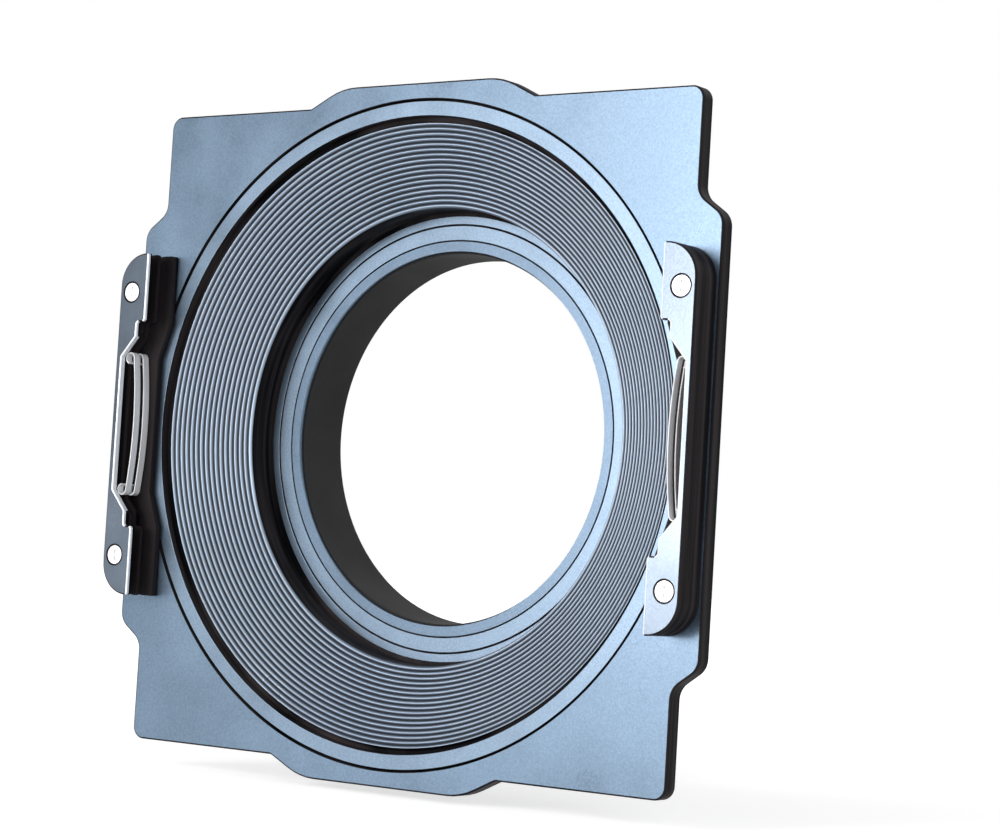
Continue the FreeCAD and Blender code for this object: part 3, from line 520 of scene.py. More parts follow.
# Grained finishes: the colour's setting, then metallic, roughness, specks, clouds and bump.
GRAINED = {
    "satin_face": ("satin", 0.75, 0.32, 0.6, 0.4, 0.3),
    "flange_face": ("flange", 0.75, 0.32, 0.6, 0.4, 0.3),
    "collet_face": ("collet", 0.75, 0.32, 0.6, 0.4, 0.3),
    "cover_face": ("cover", 0.9, 0.22, 0.3, 0.4, 0.25),
    # Painted highlight on the covers' inner walls.
    "pale_edge": ("pale_edge", 0.2, 0.35, 0.1, 0.05, 0.15),
    "screw_plating": ("screw", 0.7, 0.32, 0.06, 0.08, 0.1),
    "felt": ("felt", 0.0, 0.95, 0.8, 0.3, 1.0),
    "slippery_plastic": ("glide", 0.0, 0.45, 0.05, 0.05, 0.05),
}


def node(tree, kind, values=None, **options):
    """Adds a shader node. A value is a socket to link from, or what to set."""
    made = tree.nodes.new(f"ShaderNode{kind}")
    for option, value in options.items():
        setattr(made, option, value)
    feed(tree, made, values or {})
    return made


def feed(tree, made, values):
    """Links sockets to a node's inputs, and sets the inputs that have plain values."""
    for socket, value in values.items():
        if isinstance(value, bpy.types.NodeSocket):
            tree.links.new(value, made.inputs[socket])
        else:
            made.inputs[socket].default_value = value


def maths(tree, operation, *values):
    """The result of a Math node."""
    return node(tree, "Math", dict(enumerate(values)), operation=operation).outputs[0]


def ranged(tree, value, low, high):
    """0 below the low value, 1 above the high one, and even in between."""
    values = {"Value": value, "From Min": low, "From Max": high}
    return node(tree, "MapRange", values, clamp=True).outputs[0]


def mixed(tree, share, low, high):
    """The low colour at share 0, and the high one at 1."""
    return node(tree, "Mix", {0: share, 6: low, 7: high}, data_type="RGBA").outputs[2]


def new_group(name, inputs, outputs):
    """An empty shader node group with named sockets: its tree, inner inputs and inner output."""
    tree = bpy.data.node_groups.new(name, "ShaderNodeTree")
    kinds = {"colour": "NodeSocketColor", "number": "NodeSocketFloat"}
    for label, kind, default in inputs:
        socket = tree.interface.new_socket(label, in_out="INPUT", socket_type=kinds[kind])
        socket.default_value = default
    for label, kind in outputs:
        tree.interface.new_socket(label, in_out="OUTPUT", socket_type=kinds[kind])
    return tree, tree.nodes.new("NodeGroupInput").outputs, tree.nodes.new("NodeGroupOutput")


def blasted_grain():
    """Fine blasted grain: two noises in the object's own space vary colour, roughness and height."""
    name = "blasted_grain"
    if name in bpy.data.node_groups:
        return bpy.data.node_groups[name]
    tree, given, result = new_group(
        name,
        [
            ("Colour", "colour", (0.5, 0.5, 0.5, 1)),
            ("Speck size", "number", 2500.0),
            ("Speck strength", "number", 0.2),
            ("Cloud strength", "number", 0.1),
            ("Roughness", "number", 0.4),
        ],
        [("Colour", "colour"), ("Roughness", "number"), ("Height", "number")],
    )
    place = node(tree, "TexCoord").outputs["Object"]
    speck, cloud = [
        node(tree, "TexNoise", {"Vector": place, "Scale": scale, "Detail": detail}).outputs["Fac"]
        for scale, detail in ((given["Speck size"], 2.0), (CLOUD_SIZE, 3.0))
    ]
    speck_part = maths(tree, "ADD", speck, -0.5)
    cloud_part = maths(tree, "ADD", cloud, -0.5)
    with_specks = maths(tree, "MULTIPLY_ADD", speck_part, given["Speck strength"], 1.0)
    level = maths(tree, "MULTIPLY_ADD", cloud_part, given["Cloud strength"], with_specks)
    rough = maths(tree, "MULTIPLY_ADD", cloud_part, ROUGHNESS_SPREAD, given["Roughness"])
    colour = node(tree, "VectorMath", {0: given["Colour"], "Scale": level}, operation="SCALE")
    tree.links.new(colour.outputs[0], result.inputs["Colour"])
    tree.links.new(rough, result.inputs["Roughness"])
    tree.links.new(speck, result.inputs["Height"])
    return tree


def lined_group(name, numbers, place_parts, low, high):
    """A group whose noise picks between two colours and gives a height.

    place_parts turns the object's own X, Y and Z into the parts of the noise's place."""
    if name in bpy.data.node_groups:
        return bpy.data.node_groups[name]
    tree, given, result = new_group(
        name,
        [("Low colour", "colour", (0, 0, 0, 1)), ("High colour", "colour", (1, 1, 1, 1))]
        + [(label, "number", 1.0) for label in numbers],
        [("Colour", "colour"), ("Height", "number")],
    )
    place = node(tree, "SeparateXYZ", {0: node(tree, "TexCoord").outputs["Object"]}).outputs
    joined = node(tree, "CombineXYZ", dict(enumerate(place_parts(tree, place, given)))).outputs[0]
    noise = node(tree, "TexNoise", {"Vector": joined, "Scale": 1.0, "Detail": 3.0}).outputs["Fac"]
    colour = mixed(tree, ranged(tree, noise, low, high), given["Low colour"], given["High colour"])
    tree.links.new(colour, result.inputs["Colour"])
    tree.links.new(noise, result.inputs["Height"])
    return tree


def tool_lines():
    """Fine parallel lines: noise in the object's own space, stretched along X, Y and Z."""

    def parts(tree, place, given):
        return [maths(tree, "MULTIPLY", place[axis], given[f"Along {axis}"]) for axis in "XYZ"]

    return lined_group("tool_lines", ("Along X", "Along Y", "Along Z"), parts, 0.38, 0.66)


def turned_lines():
    """Fine rings: noise over the distance from the optical axis and the depth along it."""

    def parts(tree, place, given):
        across, up = [maths(tree, "MULTIPLY", place[axis], place[axis]) for axis in "XZ"]
        radius = maths(tree, "SQRT", maths(tree, "ADD", across, up))
        return [maths(tree, "MULTIPLY", part, given["Lines"]) for part in (radius, place["Y"])]

    return lined_group("turned_lines", ("Lines",), parts, 0.35, 0.68)


def new_material(name):
    """A material with its tree and its shader."""
    material = bpy.data.materials.new(name)
    material.use_nodes = True
    return material, material.node_tree, material.node_tree.nodes["Principled BSDF"]


def bumped(tree, height, strength, distance):
    """A height as a shader's normal."""
    values = {"Height": height, "Strength": strength, "Distance": distance}
    return node(tree, "Bump", values).outputs[0]


def opaque(colour):
    """The colour with full opacity."""
    return (*colour, 1.0)


def scaled(colour, share):
    """A share of a colour, with full opacity."""
    return opaque(tuple(share * part for part in colour))


def grained(tree, shader, colour, metallic, roughness, specks, clouds, bump):
    """Feeds blasted grain on a colour into the shader."""
    values = {"Colour": colour, "Speck strength": specks, "Cloud strength": clouds, "Roughness": roughness}
    grain = node(tree, "Group", values, node_tree=blasted_grain()).outputs
    feed(tree, shader, {
        "Base Color": grain["Colour"],
        "Roughness": grain["Roughness"],
        "Metallic": metallic,
        "Normal": bumped(tree, grain["Height"], bump, 0.02 * MM),
    })


def grained_finish(name):
    """A finish from the table GRAINED."""
    if name in bpy.data.materials:
        return bpy.data.materials[name]
    colour, *numbers = GRAINED[name]
    material, tree, shader = new_material(name)
    grained(tree, shader, opaque(getattr(settings("finishes"), colour)), *numbers)
    return material


def lined_metal(name, group, values, constants, bump, bump_depth):
    """Metal with a group's lines. constants are the shader's own values."""
    if name in bpy.data.materials:
        return bpy.data.materials[name]
    material, tree, shader = new_material(name)
    lines = node(tree, "Group", values, node_tree=group).outputs
    normal = bumped(tree, lines["Height"], bump, bump_depth)
    feed(tree, shader, {"Base Color": lines["Colour"], "Normal": normal, **constants})
    return material


def cut_edge():
    """Painted shade: near-black edges and walls, with faint grey bands along the rails as painted highlight.
    """
    finish = settings("finishes")
    values = {"Low colour": opaque(finish.cut_edge), "High colour": opaque(finish.sheen_band)}
    # The painted highlight bands run fast along the depth and slowly along the height.
    values.update({"Along X": 60.0, "Along Y": 520.0, "Along Z": 9.0})
    constants = {"Roughness": 0.5, "Specular IOR Level": 0.03}
    return lined_metal("cut_edge", tool_lines(), values, constants, 0.2, 0.03 * MM)


def spring_steel():
    """Rolled spring steel with fine lines along the strip."""
    colour = settings("finishes").spring
    values = {"Low colour": scaled(colour, 0.7), "High colour": opaque(colour)}
    values.update({"Along X": 200.0, "Along Y": 9000.0, "Along Z": 60.0})
    constants = {"Roughness": 0.3, "Metallic": 0.0}
    return lined_metal("rolled_spring", tool_lines(), values, constants, 0.1, 0.01 * MM)


def rear_metal():
    """Black anodised rings behind the plate, with the lathe's fine lines."""
    colour = settings("finishes").rear
    values = {"Low colour": scaled(colour, 0.55), "High colour": scaled(colour, 1.35), "Lines": 2600.0}
    constants = {"Roughness": 0.36, "Metallic": 0.5}
    return lined_metal("black_turned", turned_lines(), values, constants, 0.35, 0.03 * MM)


def ribbed_metal():
    """Ribs with painted light: a painted highlight on the crests and painted shade in the valleys, after the
    mesh's own attribute.
    """
    name = "ribbed_metal"
    if name in bpy.data.materials:
        return bpy.data.materials[name]
    material, tree, shader = new_material(name)
    finish = settings("finishes")
    crest_highlight = node(tree, "Attribute", attribute_name="crest_highlight", attribute_type="GEOMETRY").outputs["Fac"]
    colour = mixed(tree, ranged(tree, crest_highlight, 0.3, 0.95), opaque(finish.valley_shade), opaque(finish.crest_highlight))
    grained(tree, shader, colour, 0.6, 0.33, 0.15, 0.1, 0.2)
    return material


# Pieces


def plate_outline():
    """The stepped outline: wide in the middle of each side, with a bump at the top and bottom."""
    size = settings("plate")
    low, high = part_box("frame_plate")
    corner_height = high.z - size.bump_rise
    quarter = [
        (high.x, size.step_low, size.step_round),
        (size.filter_edge, size.step_high, size.step_round),
        (size.filter_edge, corner_height, size.corner_round),
        (size.bump_foot, corner_height, size.foot_round),
        (size.bump_foot - size.bump_slope, high.z, size.bump_round),
    ]
    upper = quarter + [(-x, z, r) for x, z, r in reversed(quarter)]
    corners = upper + [(x, -z, r) for x, z, r in reversed(upper)]
    return rounded([(x, z) for x, z, _ in corners], [r for _, _, r in corners])


def bore_wall(radius, front, back, front_round, back_round):
    """A round bore's outline and its section."""
    return hole(circle(0, 0, radius, TURN_SEGMENTS)), edge_section(front, back, front_round, back_round)


def screw_holes(sides, section):
    """Outlines and sections of the rail screws' holes on the given sides."""
    rail, screw = settings("rails"), settings("screws")
    across = settings("plate").filter_edge + rail.screw_side
    radius = screw.rail_shank + screw.hole_play
    return [
        (hole(circle(side * across, end * rail.screw_height, radius)), section)
        for side in sides
        for end in ENDS
    ]


class HOLDER_OT_plate(bpy.types.Operator):
    """Build the stepped plate with its lipped bore"""

    bl_idname = "holder.plate"
    bl_label = "Plate"

    def execute(self, context):
        size = settings("plate")
        front, back = depths("frame_plate")
        floor = front + size.bore_depth
        bore_radius = size.filter_edge + size.bore_margin
        outer = plate_outline(), edge_section(front, back, size.edge_round, size.edge_round)
        bore = bore_wall(bore_radius, front, floor, size.bore_edge, 0.0)
        lip = bore_wall(reach("frame_plate")[0], floor, back, size.bore_edge, size.bore_edge)
        drilled = screw_holes((1, -1), edge_section(front, back, 0.0, 0.0))
        shell = Shell()
        # Painted shade: the walls and the counterbore's floor take the near-black edge finish.
        for outline, section in [outer, bore, lip] + drilled:
            wall(shell, outline, section, 1)
        cap(shell, [rim(*pair, 0) for pair in [outer, bore] + drilled], -1.0, 0)
        cap(shell, [rim(*bore, -1), rim(*lip, 0)], -1.0, 1)
        cap(shell, [rim(*pair, -1) for pair in [outer, lip] + drilled], 1.0, 0)
        made = shell.build("finished_plate", [grained_finish("satin_face"), cut_edge()])
        fitted(made, "frame", "plate_metal", "frame_plate")
        return {"FINISHED"}


class HOLDER_OT_funnel(bpy.types.Operator):
    """Build the flange, ribs and neck, turned as one piece"""

    bl_idname = "holder.funnel"
    bl_label = "Funnel"

    def execute(self, context):
        size = settings("funnel")
        plate_front = depths("frame_plate")[0]
        flange_radius = reach("funnel")[1]
        face = plate_front + size.flange_recess
        face_inner = flange_radius - size.flange_width
        first_rib = face_inner - size.rib_step
        last_rib = size.neck_radius + size.neck_step
        steps = size.rib_count - 1
        groove_floor = plate_front + size.rib_depth + size.rib_height
        share = np.arange(2 * size.rib_count - 1) / (2 * steps)
        ribs = np.stack([
            first_rib + (last_rib - first_rib) * share,
            plate_front + size.rib_depth + size.rib_fall * share,
        ], axis=1)
        ribs[1::2, 1] += size.rib_height
        neck_front = ribs[-1][1] + size.neck_drop
        seat = neck_front + size.neck_length
        rear = self.rear_corners(seat, plate_front + size.flange_recess)
        front = [
            (flange_radius, face),
            (face_inner, face),
            (face_inner, groove_floor),
            (face_inner - size.rib_step / 2, groove_floor),
        ]
        corners = np.array(front + ribs.tolist() + [(size.neck_radius, neck_front)] + rear)
        radii = np.full(len(corners), size.edge_round)
        radii[len(front):len(front) + len(ribs)] = size.crest_round
        profile = rounded(corners[::-1], radii[::-1])
        points = profile[0]
        radius, level = (points + np.roll(points, -1, axis=0)).T / 2
        on_ribs = (radius < first_rib + 2 * size.edge_round) & (radius > size.neck_radius)
        on_ribs &= level < neck_front + 2 * size.edge_round
        # Painted shade: all but the flange's face, the ribs and the inner seat take the near-black edge
        # finish, on the neck's walls and on the seat's band along the wall.
        on_seat = (abs(level - seat) < CLOSE) & (radius < size.neck_radius - size.seat_shade_band)
        on_face = (level < face + CLOSE) | on_seat
        finish = np.select([on_face, on_ribs], [0, 1], 2)
        # shade runs from 1 on the ribs' crests to 0 in their valleys, and mixes painted highlight and painted
        # shade into the ribs' colour.
        slope = size.rib_fall / (first_rib - last_rib)
        cone = plate_front + size.rib_depth + slope * (first_rib - points[:, 0])
        shade = np.clip(1 - (points[:, 1] - cone) / size.rib_height, 0, 1)
        shell = Shell()
        turned(shell, profile, finish, shade)
        made = shell.build("finished_funnel", [grained_finish("flange_face"), ribbed_metal(), cut_edge()])
        fitted(made, "adapter", "funnel_metal", "funnel")
        return {"FINISHED"}

    def rear_corners(self, seat, face):
        """Corners behind the neck, inwards round the lip and back along the outside to the flange."""
        size = settings("funnel")
        recess = reach("seat_ring")[1] + size.seat_gap
        lip_inner = recess - size.lip_step
        seat_step = seat + size.seat_depth
        lip_rear = seat + size.lip_depth
        rear_end = depths("funnel")[1]
        neck_outer = size.neck_radius + size.neck_wall
        thread_radius = neck_outer - size.thread_cut
        thread_inner = thread_radius - size.thread_wall
        thread_start = seat + size.thread_start
        shoulder = seat - size.neck_length + size.shoulder_start
        register = reach("retaining_ring")[0] - size.fit_play
        journal = reach("frame_plate")[0] - size.fit_play
        retaining_back = depths("retaining_ring")[1]
        retaining_seat = retaining_back - settings("rings").flange_thickness
        flange_rear = face + size.flange_thickness
        return [
            (size.neck_radius, seat),
            (size.neck_radius - size.seat_shade_band, seat),
            (recess, seat),
            (recess, seat_step),
            (lip_inner, seat_step),
            (lip_inner, lip_rear),
            (thread_inner, lip_rear),
            (thread_inner, rear_end),
            (thread_radius, rear_end),
            (thread_radius, thread_start),
            (neck_outer, thread_start),
            (neck_outer, shoulder),
            (register, retaining_back),
            (register, retaining_seat),
            (journal, retaining_seat),
            (journal, flange_rear),
            (reach("funnel")[1], flange_rear),
        ]


def rail_outline(inner_half, inner_radii):
    """A rail layer on the right: its inner edge is given from the middle up, and is mirrored down.

    The arc at the rail's end turns from the outer face towards the end face. Where the inner edge
    lies outside the arc's centre, the arc stops short of the end face: it runs on straight to the
    inner edge, and that sharp corner has only a fine round."""
    size = settings("rails")
    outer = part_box("cover_right")[1].x
    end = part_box("cover_right")[1].z
    inner = inner_half[-1][0]
    start = end - size.end_round
    straight = 2.5 * size.layer_edge
    sweep = math.acos(min(max((inner + straight - outer + size.end_round) / size.end_round, 0.0), 1.0))
    cut_short = sweep < math.pi / 2
    top = start + size.end_round * math.sin(sweep) + straight / math.tan(sweep) if cut_short else end
    up = inner_half + [(inner, top)]
    radii_up = list(inner_radii) + [1.5 * size.layer_edge if cut_short else size.inner_round]
    shoulder = start + size.end_round * math.tan(sweep / 2)
    corners = [(outer, shoulder)] + up[::-1] + [(x, -z) for x, z in up] + [(outer, -shoulder)]
    radii = [size.end_round] + radii_up[::-1] + radii_up + [size.end_round]
    return rounded(corners, radii)


def rail_layers():
    """Each layer's outline on the right."""
    size = settings("rails")
    edge = settings("plate").filter_edge
    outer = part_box("cover_right")[1].x
    back = outer - size.window_bridge
    cover_inner = edge - size.cover_overlap
    notch_side = cover_inner + size.notch_depth
    slot_wall = edge + size.slot_play
    window = rail_outline(
        [
            (back, size.window_end),
            (notch_side, size.window_mouth),
            (notch_side, size.notch_end),
            (cover_inner, size.notch_end),
        ],
        [size.bend_round, size.bend_round, size.notch_round, size.notch_round],
    )
    pocket = rail_outline(
        [(back, size.pocket_end), (slot_wall, size.pocket_end + back - slot_wall)],
        [size.bend_round, size.bend_round],
    )
    base = rail_outline(
        [(edge - size.base_middle, size.window_end), (edge - size.base_overlap, size.notch_end)],
        [size.bend_round, size.bend_round],
    )
    return {
        "base_strip": base,
        "rear_spacer": pocket,
        "divider": window,
        "front_spacer": pocket,
        "cover": window,
    }


class HOLDER_OT_rails(bpy.types.Operator):
    """Build the five layers of each rail"""

    bl_idname = "holder.rails"
    bl_label = "Rails"

    def execute(self, context):
        size = settings("rails")
        screw = settings("screws")
        sink = screw.rail_head - screw.rail_shank + screw.head_sink
        for layer, outline in rail_layers().items():
            for side_name, side in SIDES:
                label = f"{layer}_{side_name}"
                front, back = depths(label)
                is_cover = layer == "cover"
                front_edge = size.cover_edge if is_cover else size.layer_edge
                section = edge_section(front, back, front_edge, size.layer_edge)
                drilled = edge_section(front, back, 0.0, 0.0)
                if is_cover:
                    section = split_section(section, front + size.highlight_depth)
                    drilled = sink_section(front, back, sink)
                shell = Shell()
                placed = mirrored(outline, side)
                # Painted shade: every layer but the cover has a near-black front face in the slots, and all
                # walls and backs are near-black.
                slab(shell, placed, section, screw_holes((side,), drilled), (0 if is_cover else 1, 1, 1))
                # Painted highlight on the cover's inner walls.
                if is_cover:
                    self.paint_window_highlight(shell, placed, section)
                materials = [grained_finish("cover_face"), cut_edge(), grained_finish("pale_edge")]
                made = shell.build(f"finished_{label}", materials)
                fitted(made, "frame", "rail_metal", label)
        return {"FINISHED"}

    def paint_window_highlight(self, shell, outline, section):
        """Paints a highlight on the cover's inner walls as the near-white finish: in front all along, and
        whole in the window.
        """
        size = settings("rails")
        points, normals = outline
        faces_axis = points[:, 0] * normals[:, 0] < -INWARD_SHARE * np.abs(points[:, 0])
        inward = faces_axis & np.roll(faces_axis, -1)
        middle = np.abs(points[:, 1] + np.roll(points[:, 1], -1)) / 2
        stations = np.arange(len(section[0]) - 1)
        highlighted = inward[:, None] & ((stations <= ROUND_STEPS) | (middle < size.window_mouth)[:, None])
        shell.finishes[0] = np.where(highlighted.ravel(), 2, shell.finishes[0])


def spring_path(crown, bow, end, eye, curl, samples=24):
    """Centre line of a leaf spring on the right: an arc bowed inwards, with a curl at each end.

    The bow's radius comes from its rise and half length, and each curl is a circle that leaves the
    bow along its tangent. Returns points and the normals on the side of the rail's wall."""
    radius = (end ** 2 + bow ** 2) / (2 * bow)
    reach_angle = math.asin(end / radius)
    bow_angle = np.linspace(-reach_angle, reach_angle, samples)
    bow_normal = np.stack([np.cos(bow_angle), -np.sin(bow_angle)], axis=1)
    bow_points = np.stack([
        crown + radius - radius * np.cos(bow_angle),
        radius * np.sin(bow_angle),
    ], axis=1)
    turn = np.linspace(0, curl, samples * 2)[1:]
    curl_normal = np.stack([np.cos(reach_angle + turn), -np.sin(reach_angle + turn)], axis=1)
    centre = bow_points[-1] + eye * bow_normal[-1]
    upper = centre - eye * curl_normal
    flip = np.array([1, -1])
    points = np.concatenate([(upper * flip)[::-1], bow_points, upper])
    normals = np.concatenate([(curl_normal * flip)[::-1], bow_normal, curl_normal])
    return points, normals


class HOLDER_OT_springs(bpy.types.Operator):
    """Build the leaf springs in the rails' slots"""

    bl_idname = "holder.springs"
    bl_label = "Leaf springs"

    def execute(self, context):
        size = settings("springs")
        crown = settings("plate").filter_edge - size.press + size.thickness / 2
        path = spring_path(crown, size.bow, size.half_length, size.eye_radius, size.curl)
        for slot_name in ("rear", "front"):
            for side_name, side in SIDES:
                label = f"{slot_name}_spring_{side_name}"
                front, back = depths(label)
                made = self.strip(label, mirrored(path, side), front, back)
                fitted(made, "frame", "spring_steel", label)
        return {"FINISHED"}

    def strip(self, label, path, front, back):
        """Carries a strip's rounded section along the path, and closes both ends."""
        size = settings("springs")
        points, normals = path
        half = size.thickness / 2
        corners = [(-half, front), (half, front), (half, back), (-half, back)]
        section, facing = rounded(corners, size.edge_round)
        grid = spread(points[:, None, :] + section[None, :, :1] * normals[:, None, :], section[:, 1])
        towards = spread(normals[:, None, :] * facing[None, :, :1], facing[:, 1])
        shell = Shell()
        shell.add(grid, towards, grid_faces(len(points), len(section), False, True), 0)
        fan = np.arange(1, len(section) - 1)
        triangles = np.stack([np.zeros_like(fan), fan, fan + 1], axis=1)
        for station, neighbour in ((0, 1), (-1, -2)):
            way = points[station] - points[neighbour]
            normal = np.array([way[0], 0.0, way[1]]) / np.linalg.norm(way)
            shell.add(grid[station], np.tile(normal, (len(section), 1)), triangles, 0)
        return shell.build(f"finished_{label}", [spring_steel()])


def cross_outline(across, up, width, reach_out):
    """Outline of a cross with slightly rounded corners."""
    a, b = width / 2, reach_out / 2
    arms = [((1, 0), (0, 1)), ((0, 1), (-1, 0)), ((-1, 0), (0, -1)), ((0, -1), (1, 0))]
    corners = [
        (out * x + side * u, out * y + side * v)
        for (x, y), (u, v) in arms
        for out, side in ((b, -a), (b, a), (a, a))
    ]
    points, normals = rounded(corners, settings("screws").recess_round)
    return points + np.array([across, up]), normals


def flat_screw(shell, across, up, face, tip, head, shank, recess_length):
    """A countersunk screw with a cross recess, from its face towards its tip. The head's rounded edge and
    cone take the near-black edge finish as painted shadow.
    """
    size = settings("screws")
    way = math.copysign(1.0, tip - face)
    edge = size.head_edge
    turn = np.linspace(0, math.radians(135), ROUND_STEPS + 2)
    cone = face + way * (head - shank)
    section = (
        np.concatenate([edge * (1 - np.sin(turn)), [head - shank] * 3]),
        np.concatenate([face + way * edge * (1 - np.cos(turn)), [cone, cone, tip]]),
        np.concatenate([np.sin(turn), [SLANT, 1, 1]]),
        way * np.concatenate([-np.cos(turn), [SLANT, 0, 0]]),
    )
    outline = circle(across, up, head)
    cross = hole(cross_outline(across, up, size.recess_width, recess_length))
    floor = face + way * size.recess_depth
    cross_section = (np.zeros(2), np.array([face, floor]), np.ones(2), np.zeros(2))
    # Painted shadow: a near-black ring on the head's edge, as if it lay in the countersink's shade.
    wall(shell, outline, section, 1)
    wall(shell, cross, cross_section, 0)
    cap(shell, [rim(outline, section, 0), rim(cross, cross_section, 0)], -way, 0)
    cap(shell, [rim(cross, cross_section, -1)], -way, 0)
    cap(shell, [rim(outline, section, -1)], way, 0)


class HOLDER_OT_screws(bpy.types.Operator):
    """Build the rail screws and the retaining ring's screws"""

    bl_idname = "holder.screws"
    bl_label = "Screws"

    def execute(self, context):
        size = settings("screws")
        across = settings("plate").filter_edge + settings("rails").screw_side
        up = settings("rails").screw_height
        face, tip = depths("rail_screws")
        spots = [(side * across, end * up) for side in (1, -1) for end in ENDS]
        sizes = size.rail_head, size.rail_shank, size.recess_length
        self.screws("rail_screws", "frame", spots, face, tip, *sizes)
        tip, face = depths("retaining_screws")
        sizes = size.ring_head, size.ring_shank, size.ring_head
        self.screws("retaining_screws", "adapter", retaining_spots(), face, tip, *sizes)
        return {"FINISHED"}

    def screws(self, label, body, spots, face, tip, head, shank, recess_length):
        """One piece of all the screws of a kind."""
        shell = Shell()
        for spot in spots:
            flat_screw(shell, *spot, face, tip, head, shank, recess_length)
        made = shell.build(f"finished_{label}", [grained_finish("screw_plating"), cut_edge()])
        fitted(made, body, "screw_steel", label)


def retaining_spots():
    """Places of the retaining screws."""
    ring = reach("retaining_screws")[1] - settings("screws").ring_head
    return ring_spots(ring, settings("rings").screw_count)


class HOLDER_OT_lens_rings(bpy.types.Operator):
    """Build the seat ring, and finish the collet and its sleeve"""

    bl_idname = "holder.lens_rings"
    bl_label = "Rings round the lens"

    def execute(self, context):
        size = settings("rings")
        front, back = depths("seat_ring")
        inner, outer = reach("seat_ring")
        spigot = outer - size.spigot_step
        step = front + size.spigot_start
        edge = [(inner, front), (outer, front), (outer, step)]
        profile = rounded(edge + [(spigot, step), (spigot, back), (inner, back)], size.seat_round)
        level = (profile[0] + np.roll(profile[0], -1, axis=0))[:, 1] / 2
        shell = Shell()
        # Painted shade: all but the seat ring's front face take the near-black edge finish.
        turned(shell, profile, np.where(level < front + CLOSE / 2, 0, 1))
        made = shell.build("finished_seat_ring", [grained_finish("flange_face"), cut_edge()])
        fitted(made, "adapter", "funnel_metal", "seat_ring")
        plain = {"lens_collet": "collet_face", "collet_liner": "felt", "glide_ring": "slippery_plastic"}
        for label, finish in plain.items():
            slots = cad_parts[label].data.materials
            slots.clear()
            slots.append(grained_finish(finish))
        return {"FINISHED"}


class HOLDER_OT_rear_rings(bpy.types.Operator):
    """Build the retaining ring and the clamp ring behind the plate"""

    bl_idname = "holder.rear_rings"
    bl_label = "Rear rings"

    def execute(self, context):
        self.retaining_ring()
        self.clamp_ring()
        return {"FINISHED"}

    def retaining_ring(self):
        """An angle ring: outer rim in front, and an inner flange with countersunk holes."""
        size, screw = settings("rings"), settings("screws")
        front, back = depths("retaining_ring")
        inner, outer = reach("retaining_ring")
        seat = back - size.flange_thickness
        edge = size.retaining_edge
        bridge = size.screw_inset - screw.ring_head - screw.hole_play
        outer_wall = circle(0, 0, outer, TURN_SEGMENTS), edge_section(front, back, edge, edge)
        rim_wall = bore_wall(reach("frame_plate")[0], front, seat, edge, 0.0)
        inner_wall = bore_wall(inner, seat, back, 0.0, bridge / 2)
        sink = sink_section(back, seat, screw.ring_head - screw.ring_shank, -1)
        radius = screw.ring_shank + screw.hole_play
        drilled = [(hole(circle(*spot, radius)), sink) for spot in retaining_spots()]
        shell = Shell()
        for outline, section in [outer_wall, rim_wall, inner_wall] + drilled:
            wall(shell, outline, section, 0)
        cap(shell, [rim(*outer_wall, 0), rim(*rim_wall, 0)], -1.0, 0)
        cap(shell, [rim(*rim_wall, -1), rim(*inner_wall, 0)] + [rim(*pair, -1) for pair in drilled], -1.0, 0)
        cap(shell, [rim(*outer_wall, -1), rim(*inner_wall, -1)] + [rim(*pair, 0) for pair in drilled], 1.0, 0)
        made = shell.build("finished_retaining_ring", [rear_metal()])
        fitted(made, "adapter", "rear_metal", "retaining_ring")

    def clamp_ring(self):
        """A ring with grip grooves, whose inner cone closes the collet."""
        size = settings("rings")
        front, back = depths("clamp_ring")
        inner, outer = reach("clamp_ring")
        chamfer = size.clamp_chamfer
        bore = outer - size.clamp_wall
        step = back - size.cone_length
        cone = inner + size.cone_rise
        corners = [
            (bore, front),
            (outer - chamfer, front),
            (outer, front + chamfer),
            (outer, back - chamfer),
            (outer - chamfer, back),
            (inner, back),
            (cone, step),
            (bore, step),
        ]

        def grip(angle, points):
            """How far round grooves, evenly spaced, cut below the outside."""
            spacing = 2 * math.pi / size.grip_count
            across = (np.mod(angle + spacing / 2, spacing) - spacing / 2) * outer
            rise = np.sqrt(np.clip(size.grip_radius ** 2 - across ** 2, 0, None))
            surface = outer - np.clip(rise - size.grip_radius + size.grip_depth, 0, None)
            cut = np.clip(points[:, 0] - surface, 0, None)
            return np.where(points[:, 0] > outer - size.grip_zone, cut, 0)

        shell = Shell()
        turned(shell, rounded(corners, size.clamp_edge), groove=grip, segments=3 * TURN_SEGMENTS)
        made = shell.build("finished_clamp_ring", [rear_metal()])
        fitted(made, "clamp", "rear_metal", "clamp_ring")


# Stage


WARM = (1.0, 0.945, 0.92)
WHITE = (1.0, 1.0, 1.0)
# Each lamp's azimuth and elevation in degrees and its distance, its width and height, power and colour.
LAMPS = {
    "key": ((-17, 9, 1.2), (0.48, 0.85), 11.5, WARM),
    "low": ((-29, 1.5, 1.2), (0.22, 0.16), 0.75, WARM),
    "fill": ((46, 10, 1.2), (0.6, 0.8), 5.0, WHITE),
    "rear": ((160, 35, 1.4), (0.8, 0.8), 3.0, WHITE),
}
FLOOR_HALF = 3.0
FLOOR_FADE = {"From Min": 0.1, "From Max": 0.7, "To Min": 0.6, "To Max": 1.0}
FLOOR_REFLECTED = 0.95
SKY_LIGHT = 0.3


